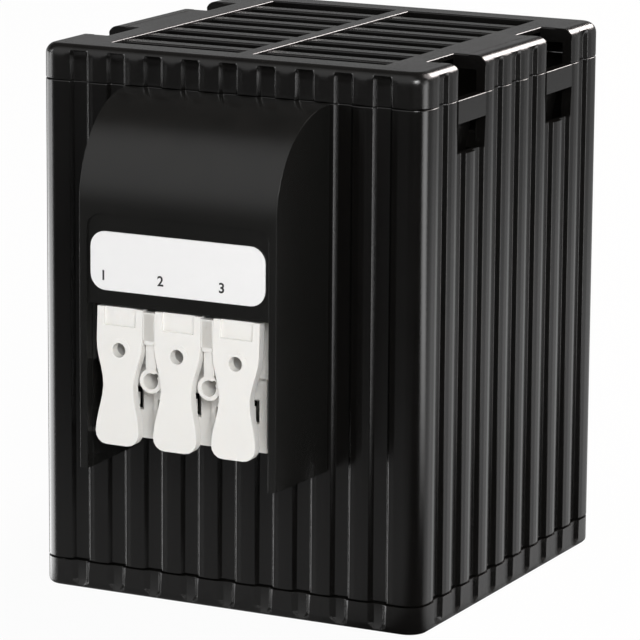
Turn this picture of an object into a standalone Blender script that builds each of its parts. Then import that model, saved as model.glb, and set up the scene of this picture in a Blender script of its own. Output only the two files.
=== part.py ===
"""A touch-safe fan heater for control cabinets.

Metres, +Z up, front towards -Y. The origin is the middle of the bottom face.
"""

import math

import bmesh
import bpy
from mathutils import Matrix, Vector

MM = 0.001

# Case
WIDTH = 85.0 * MM
DEPTH = 85.0 * MM
HEIGHT = 111.0 * MM
WALL = 2.2 * MM
CORNER_RADIUS = 4.0 * MM
BASE_HEIGHT = 5.75 * MM
CAP_HEIGHT = 7.0 * MM
SEAM = 0.3 * MM
GAP = 0.3 * MM

# Ribbed surface
GROOVES = 9
GROOVE_WIDTH = 4.2 * MM
GROOVE_FLOOR = 2.9 * MM
GROOVE_DEPTH = 1.15 * MM
CORNER_RIB = 6.95 * MM
RIB_ROUND = 0.3 * MM

# Grooves of the two caps, shallower and with more draft
CAP_GROOVE_DEPTH = 0.7 * MM
CAP_GROOVE_FLOOR = 1.9 * MM
CAP_GROOVE_STOP = 2.6 * MM
BASE_GROOVE_STOP = 0.6 * MM
CAP_GROOVE_RUN = 1.1 * MM

# Caps
CAP_FILLET = 2.2 * MM
BASE_FILLET = 1.0 * MM
PLATE = 2.9 * MM
LIP_WALL = 1.0 * MM
LIP_LENGTH = 3.0 * MM
SLOT_BORDER = 7.5 * MM
SLOT_PITCH = 9.15 * MM
SLAT_WIDTH = 3.4 * MM
SLAT_DROP = 0.45 * MM
MIDDLE_BAR = 3.2 * MM
SIDE_BORDER = 12.2 * MM

# Snap windows and hooks
WINDOW_HEIGHT = 5.9 * MM
WINDOW_DROP = 4.2 * MM
PANEL_RECESS = 0.3 * MM
NOTCH_DEPTH = 7.0 * MM
HOOK_THICKNESS = 1.5 * MM
NOSE_RECESS = 0.9 * MM

# Terminal platform on the front of the housing
PLATFORM_WIDTH = 38.4 * MM
PLATFORM_BOTTOM = 30.3 * MM
PLATFORM_TOP = 66.0 * MM
PLATFORM_DEPTH = 6.0 * MM
LEAD_WINDOW_WIDTH = 32.0 * MM
LEAD_WINDOW_BOTTOM = 39.0 * MM
LEAD_WINDOW_TOP = 51.0 * MM

# Terminal hood
HOOD_REACH = 20.3 * MM
HOOD_ROOT_WIDTH = 45.0 * MM
HOOD_FACE_WIDTH = 43.0 * MM
HOOD_WALL = 1.8 * MM
HOOD_BOTTOM = 31.2 * MM
HOOD_ARC = 20.0 * MM
HOOD_EDGE = 0.8 * MM
HOOD_RELIEF = 0.2 * MM
HOOD_WINDOW_TOP = 64.3 * MM
RECESS_TOP = 82.2 * MM
RECESS_DEPTH = 0.5 * MM
RECESS_CORNER = 3.0 * MM
TONGUE_HEIGHT = 6.0 * MM
TONGUE_LOW = 42.0 * MM
TONGUE_HIGH = 76.0 * MM

# Label
LABEL_WIDTH = 38.2 * MM
LABEL_HEIGHT = 11.6 * MM
LABEL_CENTRE = 73.0 * MM
LABEL_CORNER = 3.2 * MM
LABEL_THICKNESS = 0.3 * MM
LABEL_GAP = 0.1 * MM

# Terminal block, its depths measured out from its back
POLES = 3
POLE_PITCH = 12.78 * MM
BLOCK_BOTTOM = 37.0 * MM
BLOCK_TOP = 63.6 * MM
BLOCK_WAIST = 52.2 * MM
BLOCK_FACE = 9.2 * MM
BLOCK_FOOT_FACE = 7.4 * MM
BLOCK_FOOT_WIDTH = 32.4 * MM
BLOCK_RAIL_WIDTH = 38.6 * MM
BLOCK_FLOOR = 3.0 * MM
LEDGE_THICKNESS = 0.8 * MM
RIDGE_SLOT_WIDTH = 0.9 * MM
RIDGE_SLOT_DEPTH = 1.0 * MM
RIDGE_SLOT_BOTTOM = 43.2 * MM
RIDGE_SLOT_TOP = 45.5 * MM
POCKET_WIDTH = 7.2 * MM
POCKET_DEPTH = 5.8 * MM
WIRE_HOLE_RADIUS = 1.6 * MM
FIXING_HEIGHT = 49.9 * MM
FIXING_RADIUS = 2.45 * MM
FIXING_BORE = 1.6 * MM
FIXING_NOTCH = 0.5 * MM
FIXING_REACH = 12.8 * MM
FIXING_DEPTH = 8.0 * MM

# Release levers
LEVER_HEAD = 10.0 * MM
LEVER_WAIST = 6.6 * MM
LEVER_FOOT = 9.5 * MM
LEVER_TOP = 63.9 * MM
LEVER_NECK_HEIGHT = 57.2 * MM
LEVER_WAIST_HEIGHT = 48.5 * MM
LEVER_FOOT_HEIGHT = 39.4 * MM
LEVER_BOTTOM = 36.9 * MM
LEVER_BACK_FACE = 11.5 * MM
LEVER_THICKNESS = 2.0 * MM
LEVER_KICK = 1.5 * MM
HEAD_STEP = 0.5 * MM
HEAD_STEP_MARGIN = 1.5 * MM
HEAD_STEP_HEIGHT = 60.3 * MM
EYE_HEIGHT = 55.6 * MM
EYE_RADIUS = 2.4 * MM
EYE_BORE = 1.45 * MM
EYE_RISE = 0.5 * MM
PIVOT_HEIGHT = 60.3 * MM
PIVOT_DEPTH = 7.2 * MM
PIVOT_RADIUS = 1.3 * MM
PIVOT_LENGTH = 6.4 * MM
NECK_WIDTH = 4.0 * MM
PUSHER_HEIGHT = 45.0 * MM
PUSHER_WIDTH = 2.4 * MM

# Clamp springs
SPRING_WIDTH = 4.4 * MM
SPRING_STRIP = 0.5 * MM
SPRING_LOOP = 2.0 * MM

# Fan
FAN_DEPTH = 25.0 * MM
FAN_RIM = 1.9 * MM
FAN_CORNER = 4.0 * MM
FAN_HOLE_INSET = 3.95 * MM
FAN_HOLE_RADIUS = 2.15 * MM
FAN_HUB_RADIUS = 17.0 * MM
FAN_STRUT = 3.4 * MM
FAN_BASE = 2.6 * MM
ROTOR_WALL = 1.6 * MM
ROTOR_TIP_GAP = 1.1 * MM
ROTOR_LIFT = 1.2 * MM
BLADES = 7
BLADE_THICKNESS = 1.3 * MM
BLADE_ROOT_PITCH = 56.0
BLADE_TIP_PITCH = 34.0
SHAFT_RADIUS = 1.9 * MM
BEARING_RADIUS = 4.2 * MM
BEARING_LENGTH = 18.0 * MM
STATOR_RADIUS = 12.6 * MM
STATOR_LENGTH = 15.0 * MM
POST_RADIUS = 3.9 * MM
FAN_SCREW_RADIUS = 1.75 * MM
FAN_SCREW_HEAD = 3.2 * MM
FAN_SCREW_SINK = 3.2 * MM
FAN_SCREW_BITE = 6.0 * MM

# Heater
SINK_SIDE_SPACE = 17.3 * MM
SINK_BODY = 11.0 * MM
SINK_FIN = 14.0 * MM
SINK_FINS = 12
SINK_FIN_THICKNESS = 1.3 * MM
WIRING_SPACE = 17.8 * MM
CHANNEL_WALL = 5.0 * MM
CHANNEL_HEIGHT = 6.6 * MM
ELEMENT_RISE = 2.0 * MM
TAB_WIDTH = 4.8 * MM
TAB_THICKNESS = 0.8 * MM
TAB_LENGTH = 5.0 * MM
TAB_OFFSET = 10.0 * MM
HOLDER_HEIGHT = 3.0 * MM
HOLDER_RIM = 4.0 * MM
HOLDER_BAR = 5.0 * MM
HOLDER_LUG = 2.6 * MM
CUTOUT_RADIUS = 8.0 * MM
CUTOUT_HEIGHT = 7.0 * MM
CUTOUT_FLANGE = 1.0 * MM
CUTOUT_SPAN = 24.0 * MM
CUTOUT_EAR = 8.0 * MM
CUTOUT_TAB_OFFSET = 4.0 * MM
CUTOUT_SCREW = 1.25 * MM
CUTOUT_SCREW_HEAD = 2.3 * MM
CUTOUT_SCREW_BITE = 3.0 * MM

# Rail clip on the back
CLIP_WIDTH = 30.0 * MM
CLIP_HEIGHT = 47.0 * MM
CLIP_MIDDLE = 56.0 * MM
CLIP_PLATE = 4.0 * MM
RAIL_HEIGHT = 35.4 * MM
RAIL_SLOT = 1.4 * MM
CLIP_LIP = 2.4 * MM
SEAT_RISE = 0.5 * MM
CLIP_OVERLAP = 3.2 * MM
CLIP_CHAMFER = 1.5 * MM
CLIP_SLIT = 1.2 * MM
CLIP_TONGUE = 1.8 * MM
CLIP_TONGUE_LENGTH = 19.0 * MM
CLIP_SCREW_SPAN = 18.0 * MM
CLIP_SCREW_HEIGHT = 63.0 * MM
CLIP_SCREW_RADIUS = 1.7 * MM
CLIP_SCREW_HEAD = 3.4 * MM
CLIP_SCREW_SINK = 2.4 * MM
CLIP_SCREW_LENGTH = 8.0 * MM
BOSS_RADIUS = 3.8 * MM
BOSS_LENGTH = 5.0 * MM
PAD_WIDTH = 36.0 * MM
PAD_MARGIN = 2.0 * MM

# Leads
LEAD_RADIUS = 1.0 * MM

# Worked out from the sizes above
FRONT = -DEPTH / 2
BACK = DEPTH / 2
BODY_BOTTOM = BASE_HEIGHT + SEAM / 2
BODY_TOP = HEIGHT - CAP_HEIGHT - SEAM / 2
BASE_TOP = BASE_HEIGHT - SEAM / 2
CAP_BOTTOM = HEIGHT - CAP_HEIGHT + SEAM / 2
INNER_X = WIDTH / 2 - WALL
INNER_Y = DEPTH / 2 - WALL
INNER_CORNER = max(CORNER_RADIUS - WALL, 0.5 * MM)
LIP_X = INNER_X - GAP
LIP_Y = INNER_Y - GAP
ROOT = (WALL + GROOVE_DEPTH) / 2
WINDOW_TOP = BODY_TOP - WINDOW_DROP
WINDOW_BOTTOM = WINDOW_TOP - WINDOW_HEIGHT
PLATFORM_FACE = FRONT - PLATFORM_DEPTH
HOOD_FACE = FRONT - HOOD_REACH
HOOD_INSIDE = HOOD_FACE_WIDTH / 2 - HOOD_WALL + HOOD_RELIEF
BLOCK_BACK = PLATFORM_FACE - GAP
PIVOT_Y = BLOCK_BACK - PIVOT_DEPTH
LEVER_BACK = BLOCK_BACK - LEVER_BACK_FACE
POCKET_TOP = LEAD_WINDOW_TOP - GAP
POCKET_BOTTOM = BLOCK_BOTTOM + BLOCK_FLOOR
LIP_TOP = BASE_TOP + SEAM + LIP_LENGTH
FAN_X = LIP_X - GAP
FAN_Y = LIP_Y - GAP
FAN_BORE = min(FAN_X, FAN_Y) - FAN_RIM
FAN_BOTTOM = LIP_TOP + GAP
FAN_TOP = FAN_BOTTOM + FAN_DEPTH
ROTOR_LOW = FAN_BOTTOM + FAN_BASE + ROTOR_LIFT
ROTOR_HIGH = FAN_TOP - ROTOR_LIFT
ROTOR_CROWN = ROTOR_HIGH - ROTOR_WALL
LOWER_HOLDER = FAN_TOP + GAP
SINK_BOTTOM = LOWER_HOLDER + HOLDER_HEIGHT + GAP
UPPER_HOLDER = BODY_TOP - WIRING_SPACE - HOLDER_HEIGHT
SINK_TOP = UPPER_HOLDER - GAP
SINK_MIDDLE = (SINK_BOTTOM + SINK_TOP) / 2
SINK_WIDTH = 2 * (INNER_X - SINK_SIDE_SPACE)
CUTOUT_FACE = -SINK_WIDTH / 2 - GAP
CLIP_BACK = BACK + GAP
CLIP_FACE = CLIP_BACK + CLIP_PLATE


# Scene

def clear_scene():
    for item in list(bpy.data.objects):
        bpy.data.objects.remove(item, do_unlink=True)


def new_collection(name, hidden):
    collection = bpy.data.collections.new(name)
    collection.hide_render = hidden
    bpy.context.scene.collection.children.link(collection)
    return collection


clear_scene()
HEATER = new_collection("enclosure_heater", False)
CUTTERS = new_collection("cutters", True)


def new_material(name, colour, roughness, metallic):
    material = bpy.data.materials.new(name)
    material.use_nodes = True
    shader = material.node_tree.nodes["Principled BSDF"]
    shader.inputs["Base Color"].default_value = (*colour, 1.0)
    shader.inputs["Roughness"].default_value = roughness
    shader.inputs["Metallic"].default_value = metallic
    return material


BLACK_CASE = new_material("black_case", (0.022, 0.021, 0.020), 0.42, 0.0)
BLACK_HOOD = new_material("black_hood", (0.016, 0.016, 0.015), 0.33, 0.0)
WHITE_TERMINAL = new_material("white_terminal", (0.86, 0.85, 0.82), 0.38, 0.0)
WHITE_LABEL = new_material("white_label", (0.90, 0.90, 0.90), 0.30, 0.0)
FAN_PLASTIC = new_material("fan_plastic", (0.030, 0.030, 0.032), 0.50, 0.0)
HOLDER_PLASTIC = new_material("holder_plastic", (0.30, 0.26, 0.20), 0.55, 0.0)
ALUMINIUM = new_material("aluminium", (0.80, 0.81, 0.82), 0.35, 1.0)
STEEL = new_material("steel", (0.62, 0.62, 0.60), 0.30, 1.0)
CERAMIC = new_material("ceramic", (0.55, 0.44, 0.33), 0.70, 0.0)
COPPER = new_material("copper", (0.70, 0.36, 0.20), 0.35, 1.0)
LEAD_SLEEVE = new_material("lead_sleeve", (0.68, 0.66, 0.62), 0.55, 0.0)


# Shapes

def box(x, y, z):
    """A block between two limits on each axis."""
    low = Vector((x[0], y[0], z[0]))
    high = Vector((x[1], y[1], z[1]))
    place = Matrix.Translation((low + high) / 2) @ Matrix.Diagonal((*(high - low), 1))
    form = bmesh.new()
    bmesh.ops.create_cube(form, size=1.0, matrix=place)
    return form


# The local Z of a drawn shape along +X, towards -Y and along +Z
TURN = {
    "X": Matrix(((0, 0, 1, 0), (1, 0, 0, 0), (0, 1, 0, 0), (0, 0, 0, 1))),
    "Y": Matrix(((1, 0, 0, 0), (0, 0, -1, 0), (0, 1, 0, 0), (0, 0, 0, 1))),
    "Z": Matrix.Identity(4),
}


def rod(radius, start, length, axis="Z", sides=24):
    """A cylinder from its start along +Z or +X, or towards -Y."""
    form = bmesh.new()
    middle = Matrix.Translation((0, 0, length / 2))
    bmesh.ops.create_cone(form, cap_ends=True, segments=sides, radius1=radius,
                          radius2=radius, depth=length, matrix=middle)
    form.transform(Matrix.Translation(start) @ TURN[axis])
    return form


def prism(outline, low, high, axis="Z"):
    """A flat outline drawn between two limits.

    On Z the outline holds (x, y), on X (y, z) and on Y (x, z).
    """
    ends = (-high, -low) if axis == "Y" else (low, high)
    form = loft([[(u, v, w) for u, v in outline] for w in ends])
    form.transform(TURN[axis])
    return form


def tube(outside, inside, low, high):
    """Two outlines of as many points each, one in the other, drawn up as a wall."""
    levels = ((outside, low), (outside, high), (inside, high), (inside, low))
    return skin([[(x, y, z) for x, y in outline] for outline, z in levels], False)


def loft(rings):
    """Rings of as many points each, joined in order and closed at both ends."""
    return skin(rings, True)


def skin(rings, ends):
    """Faces between the rings, with a face at each end or back round to the first ring."""
    form = bmesh.new()
    loops = [[form.verts.new(point) for point in ring] for ring in rings]
    count = len(loops[0])
    following = loops[1:] if ends else loops[1:] + loops[:1]
    for lower, upper in zip(loops, following):
        for i in range(count):
            j = (i + 1) % count
            form.faces.new((lower[i], lower[j], upper[j], upper[i]))
    if ends:
        form.faces.new(loops[0][::-1])
        form.faces.new(loops[-1])
    return facing_out(form)


def facing_out(form):
    bmesh.ops.recalc_face_normals(form, faces=form.faces)
    if form.calc_volume(signed=True) < 0:
        bmesh.ops.reverse_faces(form, faces=form.faces)
    return form


def gather(forms):
    """Several closed shapes that don't touch, as one mesh."""
    together = bmesh.new()
    for form in forms:
        mesh = bpy.data.meshes.new("piece")
        form.to_mesh(mesh)
        form.free()
        together.from_mesh(mesh)
        bpy.data.meshes.remove(mesh)
    return together


def mirrored(form, x, y):
    """The shape's image across X, Y or both middle planes, facing out."""
    image = form.copy()
    image.transform(Matrix.Diagonal((x, y, 1, 1)))
    if x * y < 0:
        bmesh.ops.reverse_faces(image, faces=image.faces)
    return image


def mirrored_pair(forms):
    return gather(forms + [mirrored(form, -1, 1) for form in forms])


def four_ways(form):
    images = [mirrored(form, x, y) for x, y in ((-1, 1), (1, -1), (-1, -1))]
    return gather([form] + images)


def place(name, form, collection):
    mesh = bpy.data.meshes.new(name)
    form.to_mesh(mesh)
    form.free()
    item = bpy.data.objects.new(name, mesh)
    collection.objects.link(item)
    return item


def new_part(name, form, material):
    part = place(name, form, HEATER)
    part.data.materials.append(material)
    return part


def combine(target, operation, name, form):
    tool = place(f"{target.name}_{name}", form, CUTTERS)
    tool.display_type = "WIRE"
    tool.hide_render = True
    modifier = target.modifiers.new(name, "BOOLEAN")
    modifier.operation = operation
    modifier.solver = "EXACT"
    modifier.object = tool


def cut(target, name, form):
    combine(target, "DIFFERENCE", name, form)


def join(target, name, form):
    combine(target, "UNION", name, form)


def round_edges(part, width, segments, chosen):
    """A bevel on the edges whose two ends satisfy the test."""
    mesh = part.data
    weights = mesh.attributes.new("bevel_weight_edge", "FLOAT", "EDGE")
    for edge in mesh.edges:
        ends = [mesh.vertices[i].co for i in edge.vertices]
        weights.data[edge.index].value = 1.0 if chosen(*ends) else 0.0
    bevel = part.modifiers.new("round", "BEVEL")
    bevel.limit_method = "WEIGHT"
    bevel.width = width
    bevel.segments = segments


def new_turned(name, profile, material, location, turn, steps=20):
    """A profile of (radius, height) from its top down, turned about the object's Z."""
    mesh = bpy.data.meshes.new(name)
    points = [(radius, 0, height) for radius, height in profile]
    mesh.from_pydata(points, [(i, i + 1) for i in range(len(points) - 1)], [])
    mesh.materials.append(material)
    part = bpy.data.objects.new(name, mesh)
    HEATER.objects.link(part)
    part.location = location
    part.rotation_euler = turn
    screw = part.modifiers.new("turn", "SCREW")
    screw.steps = steps
    screw.render_steps = steps
    screw.use_merge_vertices = True
    screw.merge_threshold = 0.00001
    return part


def new_screw(name, radius, head, head_height, length, location, turn=(0, 0, 0)):
    """A screw from the outer face of its head, its shank along the object's +Z."""
    bevel = head_height / 3
    profile = [
        (0, length),
        (radius - bevel / 2, length),
        (radius, length - bevel),
        (radius, head_height),
        (head, head_height),
        (head, bevel),
        (head - bevel, 0),
        (0, 0),
    ]
    return new_turned(name, profile, STEEL, location, turn)


def arc(centre, radius, start, end, steps):
    """Points on an arc, in degrees, both ends included."""
    angles = [math.radians(start + (end - start) * i / steps) for i in range(steps + 1)]
    return [(centre[0] + radius * math.cos(a), centre[1] + radius * math.sin(a)) for a in angles]


def circle(radius, steps):
    return arc((0, 0), radius, 0, 360, steps)[:-1]


def rounded_rectangle(width, height, radius, middle=(0, 0), steps=6):
    points = []
    for turn, (sx, sy) in enumerate(((1, 1), (-1, 1), (-1, -1), (1, -1))):
        centre = (middle[0] + sx * (width / 2 - radius), middle[1] + sy * (height / 2 - radius))
        points += arc(centre, radius, 90 * turn, 90 * turn + 90, steps)
    return points


def ease(start, end, steps=5):
    """Points on a smooth S from start to end, without the first."""
    points = []
    for i in range(1, steps + 1):
        t = i / steps
        blend = t * t * (3 - 2 * t)
        points.append((start[0] + (end[0] - start[0]) * blend, start[1] + (end[1] - start[1]) * t))
    return points


# Ribbed surface

def groove_centres(length):
    first = -length / 2 + CORNER_RIB + GROOVE_WIDTH / 2
    step = -2 * first / (GROOVES - 1)
    return [first + i * step for i in range(GROOVES)]


def window_span():
    """The windows, panels and notches reach over two grooves and the rib between them."""
    first, last = groove_centres(DEPTH)[-3:-1]
    return first - GROOVE_WIDTH / 2, last + GROOVE_WIDTH / 2


def groove_section(centre):
    """Along a side and outwards: eased rib edge, sloping wall, floor, and back out."""
    half = GROOVE_WIDTH / 2
    floor = GROOVE_FLOOR / 2
    slope = (half - floor) / GROOVE_DEPTH
    left = [
        (-half - RIB_ROUND, 0),
        (-half + RIB_ROUND * slope, -RIB_ROUND),
        (-floor, -GROOVE_DEPTH),
    ]
    right = [(-u, v) for u, v in reversed(left)]
    return [(centre + u, v) for u, v in left + right]


def ribbed_outline():
    """Four ribbed sides, anticlockwise from the front, with an arc at each corner."""
    points = []
    for quarter, (length, across) in enumerate(((WIDTH, DEPTH), (DEPTH, WIDTH)) * 2):
        local = [point for centre in groove_centres(length) for point in groove_section(centre)]
        corner = (length / 2 - CORNER_RADIUS, -CORNER_RADIUS)
        local += arc(corner, CORNER_RADIUS, 90, 0, 6)
        turn = Matrix.Rotation(math.radians(90 * quarter), 2)
        for u, v in local:
            points.append(tuple(turn @ Vector((u, -across / 2 - v))))
    return points


def cap_groove(centre, across, seam, stop):
    """One tapered groove of a cap on the front side, deepest at the seam.

    Three trapezoids lofted along Z: beyond the seam, near the stop, and at the stop.
    """
    face = -across / 2
    away = math.copysign(1, seam - stop)
    sections = (
        (seam + away * SEAM, GROOVE_WIDTH, CAP_GROOVE_FLOOR, CAP_GROOVE_DEPTH),
        (stop + away * CAP_GROOVE_RUN, GROOVE_WIDTH - RIB_ROUND, CAP_GROOVE_FLOOR, CAP_GROOVE_DEPTH),
        (stop, GROOVE_WIDTH / 2, CAP_GROOVE_FLOOR / 2, CAP_GROOVE_DEPTH / 4),
    )
    clear = CAP_GROOVE_DEPTH / 2
    rings = []
    for z, mouth, floor, depth in sections:
        outer = mouth / 2 + (mouth - floor) / 2 / depth * clear
        rings.append([
            (centre - outer, face - clear, z),
            (centre - floor / 2, face + depth, z),
            (centre + floor / 2, face + depth, z),
            (centre + outer, face - clear, z),
        ])
    return loft(rings)


def cap_grooves(seam, stop):
    forms = []
    for quarter, (length, across) in enumerate(((WIDTH, DEPTH), (DEPTH, WIDTH)) * 2):
        turn = Matrix.Rotation(math.radians(90 * quarter), 4, "Z")
        for centre in groove_centres(length):
            form = cap_groove(centre, across, seam, stop)
            form.transform(turn)
            forms.append(form)
    return gather(forms)


# Housing sleeve

def make_housing():
    housing = new_part("housing", prism(ribbed_outline(), BODY_BOTTOM, BODY_TOP), BLACK_CASE)
    inner = rounded_rectangle(2 * INNER_X, 2 * INNER_Y, INNER_CORNER)
    cut(housing, "inside", prism(inner, BODY_BOTTOM - GAP, BODY_TOP + GAP))

    panel_x = (WIDTH / 2 - ROOT, WIDTH / 2 - PANEL_RECESS)
    panel = box(panel_x, window_span(), (WINDOW_TOP - GAP, BODY_TOP - GAP))
    join(housing, "panels", four_ways(panel))
    window_x = (INNER_X - GAP, WIDTH / 2 + GAP)
    window = box(window_x, window_span(), (WINDOW_BOTTOM, WINDOW_TOP))
    cut(housing, "windows", four_ways(window))

    wide = PLATFORM_WIDTH / 2
    platform = box((-wide, wide), (PLATFORM_FACE, FRONT + ROOT), (PLATFORM_BOTTOM, PLATFORM_TOP))
    join(housing, "platform", platform)
    half = LEAD_WINDOW_WIDTH / 2
    through = (PLATFORM_FACE - GAP, FRONT + WALL + GAP)
    cut(housing, "lead_window", box((-half, half), through, (LEAD_WINDOW_BOTTOM, LEAD_WINDOW_TOP)))
    cut(housing, "tongue_slots", mirrored_pair(tongues(GAP)))

    low = CLIP_MIDDLE - CLIP_HEIGHT / 2 - PAD_MARGIN
    high = CLIP_MIDDLE + CLIP_HEIGHT / 2 + PAD_MARGIN
    join(housing, "clip_pad", box((-PAD_WIDTH / 2, PAD_WIDTH / 2), (BACK - ROOT, BACK), (low, high)))
    bosses = [rod(BOSS_RADIUS, (x, BACK - ROOT, z), WALL - ROOT + BOSS_LENGTH, "Y")
              for x, z in clip_screw_places()]
    join(housing, "clip_bosses", gather(bosses))
    bore = CLIP_SCREW_RADIUS + GAP
    depth = GAP + CLIP_SCREW_LENGTH - CLIP_PLATE + CLIP_SCREW_SINK + GAP
    bores = [rod(bore, (x, BACK + GAP, z), depth, "Y", 20) for x, z in clip_screw_places()]
    cut(housing, "clip_bores", gather(bores))


def clip_screw_places():
    return [(side * CLIP_SCREW_SPAN / 2, CLIP_SCREW_HEIGHT) for side in (-1, 1)]


def tongues(clearance):
    """The hood's two tongues on +X, or with a clearance the slots for them."""
    inner = HOOD_ROOT_WIDTH / 2 - HOOD_WALL + GAP
    x = (inner - clearance, HOOD_ROOT_WIDTH / 2 - GAP + clearance)
    y = (FRONT - HOOD_WALL, FRONT + WALL + clearance)
    return [box(x, y, (z - clearance, z + TONGUE_HEIGHT + clearance))
            for z in (TONGUE_LOW, TONGUE_HIGH)]


# Caps

def slot_centres():
    rows = int((DEPTH - 2 * SLOT_BORDER + SLAT_WIDTH) / SLOT_PITCH)
    return [(i - (rows - 1) / 2) * SLOT_PITCH for i in range(rows)]


def slots(low, high):
    """Two columns of slots through a plate; the slats between them run along X."""
    x = (MIDDLE_BAR / 2, WIDTH / 2 - SIDE_BORDER)
    reach = (SLOT_PITCH - SLAT_WIDTH) / 2
    return mirrored_pair([box(x, (y - reach, y + reach), (low, high)) for y in slot_centres()])


def lip_outlines():
    outside = rounded_rectangle(2 * LIP_X, 2 * LIP_Y, INNER_CORNER)
    inside = rounded_rectangle(2 * (LIP_X - LIP_WALL), 2 * (LIP_Y - LIP_WALL), INNER_CORNER)
    return outside, inside


def make_top_grille():
    outline = rounded_rectangle(WIDTH, DEPTH, CORNER_RADIUS)
    cap = new_part("top_grille", prism(outline, CAP_BOTTOM, HEIGHT), BLACK_CASE)
    round_edges(cap, CAP_FILLET, 4, lambda a, b: min(a.z, b.z) > HEIGHT - GAP)
    cut(cap, "grooves", cap_grooves(CAP_BOTTOM, HEIGHT - CAP_GROOVE_STOP))

    lip, inside = lip_outlines()
    cut(cap, "hollow", prism(inside, CAP_BOTTOM - GAP, HEIGHT - PLATE))
    join(cap, "lip", tube(lip, inside, CAP_BOTTOM - LIP_LENGTH, CAP_BOTTOM + LIP_WALL))

    reach = slot_centres()[-1] + (SLOT_PITCH - SLAT_WIDTH) / 2
    x = (MIDDLE_BAR / 2, WIDTH / 2 - SIDE_BORDER)
    trough = box(x, (-reach, reach), (HEIGHT - SLAT_DROP, HEIGHT + GAP))
    cut(cap, "troughs", mirrored_pair([trough]))
    cut(cap, "slots", slots(HEIGHT - PLATE - GAP, HEIGHT + 2 * GAP))

    notch_x = (WIDTH / 2 - NOTCH_DEPTH, WIDTH / 2 + GAP)
    notch_z = (CAP_BOTTOM - LIP_LENGTH - GAP, HEIGHT + GAP)
    cut(cap, "notches", four_ways(box(notch_x, window_span(), notch_z)))
    join(cap, "hooks", four_ways(snap_hook()))


def snap_hook():
    """A sprung arm from the plate down the inside of the wall, its nose in the window.

    The outline is in X and Z, drawn along Y over the window's width.
    """
    wall_side = INNER_X - GAP
    root = WIDTH / 2 - NOTCH_DEPTH
    plate_low = HEIGHT - PLATE
    nose_top = WINDOW_TOP - GAP
    nose_low = WINDOW_BOTTOM + GAP
    nose_tip = WIDTH / 2 - NOSE_RECESS
    bend = BODY_TOP - GAP
    tip = nose_low - HOOK_THICKNESS
    outline = [
        (root + GAP, plate_low + PLATE / 2),
        (root - HOOK_THICKNESS, plate_low + PLATE / 2),
        (root - HOOK_THICKNESS, plate_low - GAP),
        (wall_side - HOOK_THICKNESS, bend - HOOK_THICKNESS),
        (wall_side - HOOK_THICKNESS, tip),
        (wall_side, tip),
        (wall_side, nose_low),
        (nose_tip, nose_top - HOOK_THICKNESS),
        (nose_tip, nose_top),
        (wall_side, nose_top),
        (wall_side, bend),
        (root + GAP, plate_low - GAP),
    ]
    first, last = window_span()
    return prism(outline, first + 2 * GAP, last - 2 * GAP, "Y")


def make_bottom_grille():
    outline = rounded_rectangle(WIDTH, DEPTH, CORNER_RADIUS)
    base = new_part("bottom_grille", prism(outline, 0, BASE_TOP), BLACK_CASE)
    round_edges(base, BASE_FILLET, 3, lambda a, b: max(a.z, b.z) < GAP)
    cut(base, "grooves", cap_grooves(BASE_TOP, BASE_GROOVE_STOP))

    lip, inside = lip_outlines()
    cut(base, "hollow", prism(inside, PLATE, BASE_TOP + GAP))
    join(base, "lip", tube(lip, inside, BASE_TOP - LIP_WALL, LIP_TOP))
    posts = [rod(POST_RADIUS, (x, y, PLATE / 2), LIP_TOP - PLATE / 2) for x, y in fan_holes()]
    join(base, "posts", gather(posts))
    cut(base, "slots", slots(-GAP, PLATE + GAP))
    bore = FAN_SCREW_RADIUS + GAP
    bores = [rod(bore, (x, y, -GAP), LIP_TOP + 2 * GAP, sides=16) for x, y in fan_holes()]
    cut(base, "screw_bores", gather(bores))
    sink = FAN_SCREW_HEAD + GAP
    sinks = [rod(sink, (x, y, -GAP), FAN_SCREW_SINK + GAP, sides=20) for x, y in fan_holes()]
    cut(base, "screw_sinks", gather(sinks))


# Terminal hood

def hood_profile(inset):
    """The hood's side outline in Y and Z: a quarter round over an upright face."""
    face = HOOD_FACE + inset
    radius = HOOD_ARC - inset
    top = BODY_TOP - inset
    centre = (face + radius, top - radius)
    foot = HOOD_BOTTOM if inset == 0 else HOOD_BOTTOM - HOOD_WALL
    rear = FRONT - GAP if inset == 0 else FRONT + GAP
    return [(rear, foot), (rear, top)] + arc(centre, radius, 90, 180, 12) + [(face, foot)]


def hood_solid(inset):
    """The outline drawn across, and drawn in from the root to the face for draft."""
    form = prism(hood_profile(inset), -0.5, 0.5, "X")
    for vert in form.verts:
        part_way = (FRONT - vert.co.y) / HOOD_REACH
        width = HOOD_ROOT_WIDTH + (HOOD_FACE_WIDTH - HOOD_ROOT_WIDTH) * part_way
        vert.co.x *= width - 2 * inset
    return form


def on_hood_edge(a, b):
    """True for the curved and upright edges between the hood's face and its two sides."""
    along = abs(a.x - b.x) < GAP
    forward = max(a.y, b.y) < FRONT - 2 * GAP or min(a.y, b.y) < FRONT - 2 * GAP and a.z > RECESS_TOP
    return along and forward and min(a.z, b.z) < max(a.z, b.z)


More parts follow.
